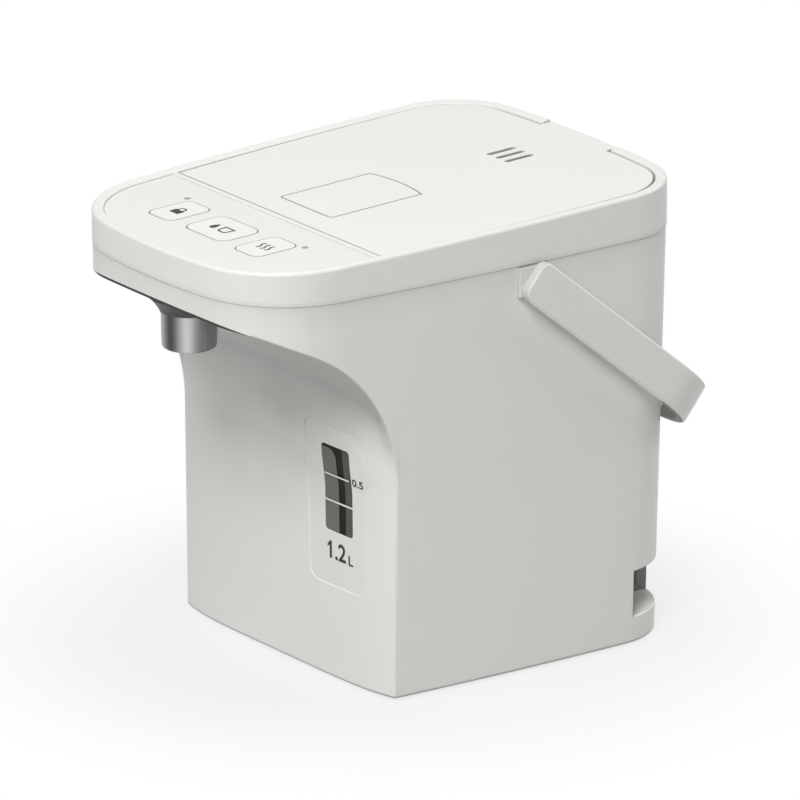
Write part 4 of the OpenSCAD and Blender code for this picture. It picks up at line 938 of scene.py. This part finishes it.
def numbers():
    """Plain capacity numbers on the gauge panel."""
    skin = Skin()
    place = on_front(GAUGE_SINK - PRINT_T)
    for text, x0, x1, z0, z1 in NUMBERS:
        font = bpy.data.curves.new("digits", "FONT")
        font.body, font.resolution_u, font.offset = text, 4, 0.018
        holder = bpy.data.objects.new("digits", font)
        bpy.context.scene.collection.objects.link(holder)
        mesh = holder.to_mesh()
        xs, ys = [v.co.x for v in mesh.vertices], [v.co.y for v in mesh.vertices]
        wide, high = (x1 - x0) / (max(xs) - min(xs)), (z1 - z0) / (max(ys) - min(ys))
        for p in mesh.polygons:
            pts = [mesh.vertices[i].co for i in p.vertices]
            skin.face(*[place(x0 + (c.x - min(xs)) * wide, z0 + (c.y - min(ys)) * high)
                        for c in pts])
        holder.to_mesh_clear()
        bpy.data.objects.remove(holder)
        bpy.data.curves.remove(font)
    skin.face(*[place(*p) for p in FLAG])
    make("gauge_numbers", skin, ("print",), "pot_body")


# ---- spout ----

def spout_piece(name, profile, look, node, n=96):
    """Turns a profile of (radius, z) about the spout's axis."""
    skin = Skin()
    skin.grid([[(*p, z) for p in ring(0, SPOUT_Y, r, n)] for r, z in profile], closed=True)
    make(name, skin, (look,), "pot_body", node)


def spout():
    bore, foot = SPOUT_R - SPOUT_WALL, SPOUT_R - SPOUT_DRAFT
    rows = [(bore, SPOUT_TOP), (bore, SPOUT_LOW + 0.4), (bore + 0.4, SPOUT_LOW)]
    rows += [(foot - SPOUT_LIP * s, SPOUT_LOW + SPOUT_LIP * c) for s, c in quarter(5)]
    rows += [(SPOUT_R - 0.1, SPOUT_LOW + 8), (SPOUT_R, SPOUT_LOW + 15), (SPOUT_R, SPOUT_TOP)]
    spout_piece("spout_tube", rows, "sleeve", "spout_sleeve")

    low = SPOUT_R + 0.05 + COLLAR_LIP
    rows = [(SPOUT_R + 0.03, COLLAR_LOW + 0.2), (low - 0.2, COLLAR_LOW)]
    for k in range(13):
        t = k / 12
        rows.append((low + (COLLAR_R - low) * t ** COLLAR_POWER, COLLAR_LOW + COLLAR_H * t))
    rows.append((COLLAR_R, SPOUT_TOP + 0.5))
    # The flare takes the dark grey collar finish, painted shade.
    spout_piece("spout_flare", rows, "collar", "spout_collar")

    rows = [(3.4, SPOUT_TOP), (3.4, SPOUT_LOW + 4.3), (3.7, SPOUT_LOW + 4), (4.2, SPOUT_LOW + 4),
            (4.5, SPOUT_LOW + 4.3), (4.5, SPOUT_TOP - 6), (11.5, SPOUT_TOP - 6), (11.5, SPOUT_TOP - 4)]
    spout_piece("nozzle", rows, "inner", "spout_nozzle", 48)


# ---- handle ----

def strap_side():
    """Upper side of the strap's section: outward offset and inset of the edge."""
    out = [(HANDLE_T / 2 - STRAP_OUT_R * c, STRAP_OUT_R * s) for s, c in quarter(4)]
    return out + [(STRAP_IN_R * s - HANDLE_T / 2, STRAP_IN_R * c) for s, c in quarter(4)]


def strap_path():
    """Middle line of the strap, with its outward direction, from the right arm to the left."""
    r = HANDLE_CORNER - HANDLE_T / 2
    reach = HANDLE_REACH - HANDLE_T / 2
    start, length = TAIL_R - STRAP_TAIL, reach - r - TAIL_R + STRAP_TAIL
    out = [((STRAP_MID, start + t * length), (1, 0)) for t in (0, 0.1, 0.3, 0.6, 1)]
    for i in range(1, 17):
        a = math.pi / 2 * i / 16
        out.append(((STRAP_MID - r + r * math.cos(a), reach - r + r * math.sin(a)),
                    (math.cos(a), math.sin(a))))
    return out + [((-x, y), (-nx, ny)) for (x, y), (nx, ny) in out[::-1]]


def strap_section(points):
    """Closed section of the resting handle, from the upper half of the level one's."""
    ca, sa = math.cos(REST), math.sin(REST)
    both = points + [(x, y, -z) for x, y, z in points[::-1]]
    return [(x, PIVOT_Y + y * ca - z * sa, PIVOT_Z + y * sa + z * ca) for x, y, z in both]


def strap_end(sign, step):
    """Section across the rounded end of an arm, a number of steps round it."""
    angle = math.pi / 2 * step / TAIL_STEPS
    points = []
    for u, d in strap_side():
        r = TAIL_R - d
        points.append((sign * (STRAP_MID + u), TAIL_R - STRAP_TAIL - r * math.sin(angle),
                       STRAP_HALF - TAIL_R + r * math.cos(angle)))
    return strap_section(points)


def carry_handle():
    skin = Skin()
    side = strap_side()
    steps = range(1, TAIL_STEPS + 1)
    rows = [strap_end(1, k) for k in steps[::-1]]
    rows += [strap_section([(px + nx * u, py + ny * u, STRAP_HALF - d) for u, d in side])
             for (px, py), (nx, ny) in strap_path()]
    rows += [strap_end(-1, k) for k in steps]
    skin.grid(rows[TAIL_STEPS:-TAIL_STEPS], closed=True)
    # The arms' rounded ends take the greyer end finish, painted shade.
    skin.paint = 1
    skin.grid(rows[:TAIL_STEPS + 1], closed=True)
    skin.grid(rows[-TAIL_STEPS - 1:], closed=True)
    for row in (rows[0], rows[-1]):
        for i in range(len(side) - 1):
            skin.face(row[i], row[i + 1], row[-2 - i], row[-1 - i])
    skin.paint = 0
    for sign in (1, -1):
        pin = [(0.01, PIN_END), (PIVOT_R - 0.4, PIN_END), (PIVOT_R, PIN_END + 0.4), (PIVOT_R, PIN_ROOT)]
        lathe_x(skin, PIVOT_Y, PIVOT_Z, [(r, sign * x) for r, x in pin])
    strap = make("handle_strap", skin, ("shell", "end", "recess"), "carry_handle", "handle")
    repaint(strap, 1, 0, lambda p: abs(p.normal.x) > 0.8)
    # Inner faces at the back of the strap take the darker recess finish, painted shade where they face
    # away from the light.
    repaint(strap, 0, 2, lambda p: p.center.y > INSIDE_FROM * MM and p.normal.y < -0.2
            and p.normal.x * p.center.x < 0.2 * abs(p.center.x))


# ---- materials ----

ROUGH_VARY, MOTTLE, GRAIN_DEPTH = 0.06, 26.0, 0.0004
# Painted reflection on the spout sleeve: grey tones by angle round the tube, in degrees from the middle
# direction.
SLEEVE_REFLECTION_BANDS = ((-90, 0.45), (-63, 0.27), (-52, 0.12), (-43, 0.065), (-35, 0.085), (-25, 0.23),
                (-13, 0.52), (-5, 0.62), (3, 0.51), (12, 0.31), (24, 0.155), (33, 0.18),
                (43, 0.36), (55, 0.43), (70, 0.36), (90, 0.4))
SLEEVE_MIDDLE = -35.5
# Painted shade on the body and ring by height in millimetres: a dark line at the foot and a soft band
# at the seam.
BODY_PAINTED_SHADE = ((0, 0.4), (1.2, 0.45), (2.3, 1), (185, 1), (196, 0.93), (198.4, 0.86), (199.4, 0.9),
              (201.5, 1))
# Painted shade where the surface faces down: the colour darkens as the normal turns downwards.
UNDER_FROM, UNDER_TO, UNDER_PAINTED_SHADE = -0.45, -0.05, 0.6


def srgb(r, g, b):
    return tuple((c / 255 / 12.92) if c < 11 else ((c / 255 + 0.055) / 1.055) ** 2.4
                 for c in (r, g, b)) + (1.0,)


def add(tree, kind, inputs=(), **options):
    """A new node; inputs are pairs of a socket and a value, or another node's output."""
    node = tree.nodes.new("ShaderNode" + kind)
    for name, value in options.items():
        setattr(node, name, value)
    for socket, value in inputs:
        if isinstance(value, bpy.types.NodeSocket):
            tree.links.new(value, node.inputs[socket])
        else:
            node.inputs[socket].default_value = value
    return node


def add_ramp(tree, share, stops, interpolation):
    """Grey tones along a share from 0 to 1; stops are pairs of a share and a tone."""
    node = add(tree, "ValToRGB", [("Fac", share)])
    node.color_ramp.interpolation = interpolation
    elements = node.color_ramp.elements
    for place, _ in stops[1:-1]:
        elements.new(place)
    for element, (place, tone) in zip(elements, stops):
        element.position, element.color = place, (tone, tone, tone, 1)
    return node.outputs["Color"]


def material(name, rgb, rough, metal=0.0, vary=0.03, grain=900.0, bump=0.02, stretch=1,
             coat=0.0, gloss_level=0.5):
    """Procedural finish: a faint mottle in colour and gloss and a fine grain in the surface."""
    m = bpy.data.materials.new(name)
    m.use_nodes = True
    tree, color = m.node_tree, srgb(*rgb)
    shader = tree.nodes["Principled BSDF"]
    for socket, value in (("Metallic", metal), ("Coat Weight", coat), ("Coat Roughness", 0.08),
                          ("Specular IOR Level", gloss_level)):
        shader.inputs[socket].default_value = value
    place = add(tree, "TexCoord").outputs["Object"]
    grid = add(tree, "Mapping", [("Vector", place), ("Scale", (1, 1, stretch))]).outputs["Vector"]
    broad = add(tree, "TexNoise", [("Vector", grid), ("Scale", MOTTLE), ("Detail", 3.0)])
    fine = add(tree, "TexNoise", [("Vector", grid), ("Scale", grain), ("Detail", 2.0)])
    darker = tuple(c * (1 - vary) for c in color[:3]) + (1.0,)
    tint = add(tree, "Mix", data_type="RGBA", name="tint",
               inputs=[("Factor", broad.outputs["Fac"]), ("A", color), ("B", darker)])
    gloss = add(tree, "MapRange", [("Value", broad.outputs["Fac"]),
                                   ("To Min", max(0.02, rough - ROUGH_VARY)),
                                   ("To Max", min(1, rough + ROUGH_VARY))])
    relief = add(tree, "Bump", [("Height", fine.outputs["Fac"]), ("Strength", bump),
                                ("Distance", GRAIN_DEPTH)])
    tree.links.new(tint.outputs["Result"], shader.inputs["Base Color"])
    tree.links.new(gloss.outputs["Result"], shader.inputs["Roughness"])
    tree.links.new(relief.outputs["Normal"], shader.inputs["Normal"])
    return m


def paint_reflection(m, bands, middle, centre):
    """Painted reflection: light and dark bands round an upright tube, given by angle and tone over half
    a turn.
    """
    tree = m.node_tree
    place = add(tree, "TexCoord").outputs["Object"]
    shift = add(tree, "VectorMath", [(0, place), (1, centre)], operation="SUBTRACT")
    turn = add(tree, "VectorRotate", rotation_type="Z_AXIS",
               inputs=[("Vector", shift.outputs[0]), ("Angle", -math.radians(middle))])
    split = add(tree, "SeparateXYZ", [(0, turn.outputs[0])]).outputs
    slope = add(tree, "Math", [(0, split["Y"]), (1, split["X"])], operation="DIVIDE")
    angle = add(tree, "Math", [(0, slope.outputs[0])], operation="ARCTANGENT")
    share = add(tree, "MapRange", [("Value", angle.outputs[0]), ("From Min", -math.pi / 2),
                                   ("From Max", math.pi / 2)])
    stops = [((degrees + 90) / 180, tone) for degrees, tone in bands]
    tone = add_ramp(tree, share.outputs["Result"], stops, "B_SPLINE")
    for socket in ("A", "B"):
        tree.links.new(tone, tree.nodes["tint"].inputs[socket])


def paint_shade(m, tones):
    """Paints shade into a finish: darker by height, given as (millimetres, tone), for the painted shade
    at the seam and the foot, and darker where it faces down, for painted shade under the nose.
    """
    tree = m.node_tree
    place = add(tree, "TexCoord").outputs["Object"]
    height = add(tree, "SeparateXYZ", [(0, place)]).outputs["Z"]
    share = add(tree, "MapRange", [("Value", height), ("From Max", RIM_Z * MM)])
    stops = [(millimetres / RIM_Z, tone) for millimetres, tone in tones]
    by_height = add_ramp(tree, share.outputs["Result"], stops, "LINEAR")
    normal = add(tree, "NewGeometry").outputs["Normal"]
    upward = add(tree, "SeparateXYZ", [(0, normal)]).outputs["Z"]
    under = add(tree, "MapRange", [("Value", upward), ("From Min", UNDER_FROM),
                                   ("From Max", UNDER_TO), ("To Min", UNDER_PAINTED_SHADE)])
    color = tree.nodes["tint"].outputs["Result"]
    for factor in (by_height, under.outputs["Result"]):
        color = add(tree, "Mix", data_type="RGBA", blend_type="MULTIPLY",
                    inputs=[("Factor", 1.0), ("A", color), ("B", factor)]).outputs["Result"]
    tree.links.new(color, tree.nodes["Principled BSDF"].inputs["Base Color"])


M = {
    "shell": material("warm_white_plastic", (240, 239, 235), 0.42, vary=0.012),
    "panel": material("panel_film_white", (238, 237, 232), 0.5, vary=0.015, grain=1400),
    "button": material("button_white", (242, 241, 237), 0.4, vary=0.012),
    "inner": material("inner_white_plastic", (214, 213, 208), 0.55),
    "print": material("dark_print", (66, 66, 68), 0.6, vary=0.05, gloss_level=0.1),
    "mark": material("white_mark", (236, 236, 230), 0.5),
    # Brushed metal whose colour is replaced by painted reflection bands below.
    "sleeve": material("brushed_sleeve_painted_reflection", (190, 190, 190), 0.3, 1.0, vary=0.12, grain=240,
                       bump=0.12, stretch=14),
    "steel": material("brushed_steel", (196, 196, 197), 0.3, 1.0, vary=0.1, grain=260, bump=0.1,
                      stretch=12),
    "screw": material("bright_zinc", (188, 189, 192), 0.24, 1.0, vary=0.06),
    "black": material("black_plastic", (42, 42, 44), 0.5, vary=0.1),
    "grey": material("grey_plastic", (92, 93, 95), 0.5, vary=0.08),
    "lamp": material("lamp_lens", (150, 148, 144), 0.25, coat=0.3),
    "silicone": material("silicone", (214, 213, 208), 0.65, vary=0.05),
    "rubber": material("foot_rubber", (48, 48, 48), 0.8, vary=0.15, bump=0.15),
    "felt": material("felt", (206, 203, 194), 0.95, vary=0.15, grain=500, bump=0.5),
    "alloy": material("cast_alloy", (182, 180, 176), 0.45, 1.0, vary=0.1, bump=0.2),
    "board": material("lacquered_board", (40, 92, 58), 0.4, vary=0.12),
    "brass": material("brass", (196, 164, 96), 0.28, 1.0, vary=0.08),
    "glass": material("clear_tube", (200, 210, 212), 0.12, coat=0.5),
    "gauge_grey": material("gauge_grey", (118, 116, 109), 0.35, gloss_level=0.1),
    "gauge_black": material("gauge_black", (22, 20, 17), 0.35, gloss_level=0.1),
    "gauge_side": material("gauge_side", (92, 90, 84), 0.35, gloss_level=0.1),
    # Body plastic; painted shade by height and where it faces down is added to it below.
    "body": material("body_plastic_painted_shade", (240, 239, 235), 0.42, vary=0.012, bump=0.006),
    # Painted shade: a greyer copy of the white plastic, for the handle's arm ends and the pads' edges.
    "end": material("handle_end_painted_shade", (208, 207, 203), 0.5, vary=0.012),
    "groove": material("groove_shade", (188, 187, 183), 0.6, gloss_level=0.2),
    "shade": material("deep_shade", (84, 83, 81), 0.7, gloss_level=0.1),
    # Painted shade: a darker copy of the white plastic, for the plug recess walls, the pads' tops and
    # the strap's inner side.
    "recess": material("recess_painted_shade", (160, 159, 155), 0.6, gloss_level=0.2),
    # Painted shade: the collar stands for white plastic and is drawn dark grey for the shade under the
    # nose.
    "collar": material("collar_painted_shade", (104, 103, 100), 0.5, gloss_level=0.2),
}
# Paints the reflection bands into the sleeve's colour.
paint_reflection(M["sleeve"], SLEEVE_REFLECTION_BANDS, SLEEVE_MIDDLE, (0, (SPOUT_Y + HOME_Y) * MM, 0))
# Paints shade into the body finish: the seam and foot bands and the undersides.
paint_shade(M["body"], BODY_PAINTED_SHADE)
SLOT_LOOK = {"white_shell": "shell", "white_inner": "inner", "panel_sheet": "panel",
             "button_skin": "button", "lamp": "lamp", "steel": "steel", "screw_steel": "screw",
             "black_plastic": "black", "grey_plastic": "grey", "gauge_glass": "glass",
             "silicone": "silicone", "foot_rubber": "rubber", "felt": "felt",
             "heater_alloy": "alloy", "board": "board", "brass": "brass"}


def dress_nodes():
    """Gives each CAD node the finish of its slot."""
    for part in frame["record"]["subparts"]:
        obj = frame["nodes"][part["node"]]
        look = M[SLOT_LOOK[part["material_slot"]]]
        if obj.material_slots:
            for slot in obj.material_slots:
                slot.material = look
        else:
            obj.data.materials.append(look)


# ---- stage, lights and camera: places in metres ----

WORLD_COLOR, WORLD_LEVEL = (0.96, 0.97, 1.0, 1), 0.015
FLOOR_HALF, FLOOR_COLOR, FLOOR_ROUGH = 4.0, (0.62, 0.62, 0.62, 1), 0.9
FADE_FROM, FADE_TO, FADE_LEAST = 0.10, 0.24, 0.75
LAMP_AIM = (0, 0, 0.11)
LAMPS = (("key", (1.25, -1.45, 2.2), 1.0, 51.0),
         ("front", (-0.4, -1.7, 1.9), 1.2, 15.0),
         ("top", (0.1, 0.3, 2.5), 1.6, 11.5),
         ("back", (0.35, 2.5, 1.4), 1.6, 24.0))
CAMERA_PLACE, CAMERA_AIM = (4.24833, -3.1435, 1.88549), (0, 0.00929, 0.11124)
LENS, SENSOR = 540.0, 36.0


def put(name, data, place, aim):
    """Adds a lamp or the camera, turned towards a point."""
    obj = bpy.data.objects.new(name, data)
    obj.location = place
    obj.rotation_euler = (Vector(aim) - Vector(place)).to_track_quat("-Z", "Y").to_euler()
    bpy.context.scene.collection.objects.link(obj)
    return obj


def lamp(name, place, size, power):
    light = bpy.data.lights.new(name, "AREA")
    light.size, light.energy = size, power
    put(name, light, place, LAMP_AIM)


def seen_directly(tree):
    """1 for camera, mirror and glass rays."""
    path = add(tree, "LightPath").outputs
    value = path["Is Camera Ray"]
    for kind in ("Is Glossy Ray", "Is Transmission Ray"):
        value = add(tree, "Math", [(0, value), (1, path[kind])], operation="MAXIMUM").outputs[0]
    return value


def mix_shaders(tree, factor, lit, plain, target):
    """Sends a mix of two shaders to the tree's output node."""
    mix = add(tree, "MixShader", [(0, factor), (1, lit.outputs[0]), (2, plain.outputs[0])])
    tree.links.new(mix.outputs[0], tree.nodes[target].inputs[0])


def surroundings():
    """Faint even light, which shows as plain white behind the object."""
    world = bpy.data.worlds.new("studio")
    bpy.context.scene.world = world
    world.use_nodes = True
    tree = world.node_tree
    soft = tree.nodes["Background"]
    soft.inputs["Color"].default_value = WORLD_COLOR
    soft.inputs["Strength"].default_value = WORLD_LEVEL
    white = add(tree, "Background", [("Color", (1, 1, 1, 1))])
    mix_shaders(tree, seen_directly(tree), soft, white, "World Output")


def floor_finish():
    """Pale and matt; away from the object it shows as plain white."""
    m = bpy.data.materials.new("pale_floor")
    m.use_nodes = True
    tree = m.node_tree
    shader = tree.nodes["Principled BSDF"]
    shader.inputs["Base Color"].default_value = FLOOR_COLOR
    shader.inputs["Roughness"].default_value = FLOOR_ROUGH
    place = add(tree, "TexCoord").outputs["Object"]
    away = add(tree, "VectorMath", [(0, place)], operation="LENGTH").outputs["Value"]
    fade = add(tree, "MapRange", interpolation_type="SMOOTHSTEP",
               inputs=[("Value", away), ("From Min", FADE_FROM), ("From Max", FADE_TO),
                       ("To Min", FADE_LEAST)])
    seen = add(tree, "Math", operation="MULTIPLY",
               inputs=[(0, seen_directly(tree)), (1, fade.outputs["Result"])])
    mix_shaders(tree, seen.outputs[0], shader, add(tree, "Emission"), "Material Output")
    return m


def stage():
    surroundings()
    mesh = bpy.data.meshes.new("floor")
    corners = [(x * FLOOR_HALF, y * FLOOR_HALF, 0) for x, y in ((-1, -1), (1, -1), (1, 1), (-1, 1))]
    mesh.from_pydata(corners, [], [(0, 1, 2, 3)])
    mesh.materials.append(floor_finish())
    floor = bpy.data.objects.new("floor", mesh)
    bpy.context.scene.collection.objects.link(floor)
    for args in LAMPS:
        lamp(*args)


def camera():
    data = bpy.data.cameras.new("camera")
    data.lens, data.sensor_width, data.clip_end = LENS, SENSOR, 20.0
    bpy.context.scene.camera = put("camera", data, CAMERA_PLACE, CAMERA_AIM)


bpy.context.scene.view_settings.view_transform = "Standard"
camera()
dress_nodes()
body_shell()
shoulder_ring()
panel_sheet()
for b, sign in zip(BUTTONS, (lock_sign, cup_sign, heat_sign)):
    button(b, sign)
lid_skin()
lever_plate()
gauge_plate()
gauge_pane()
numbers()
spout()
carry_handle()
stage()
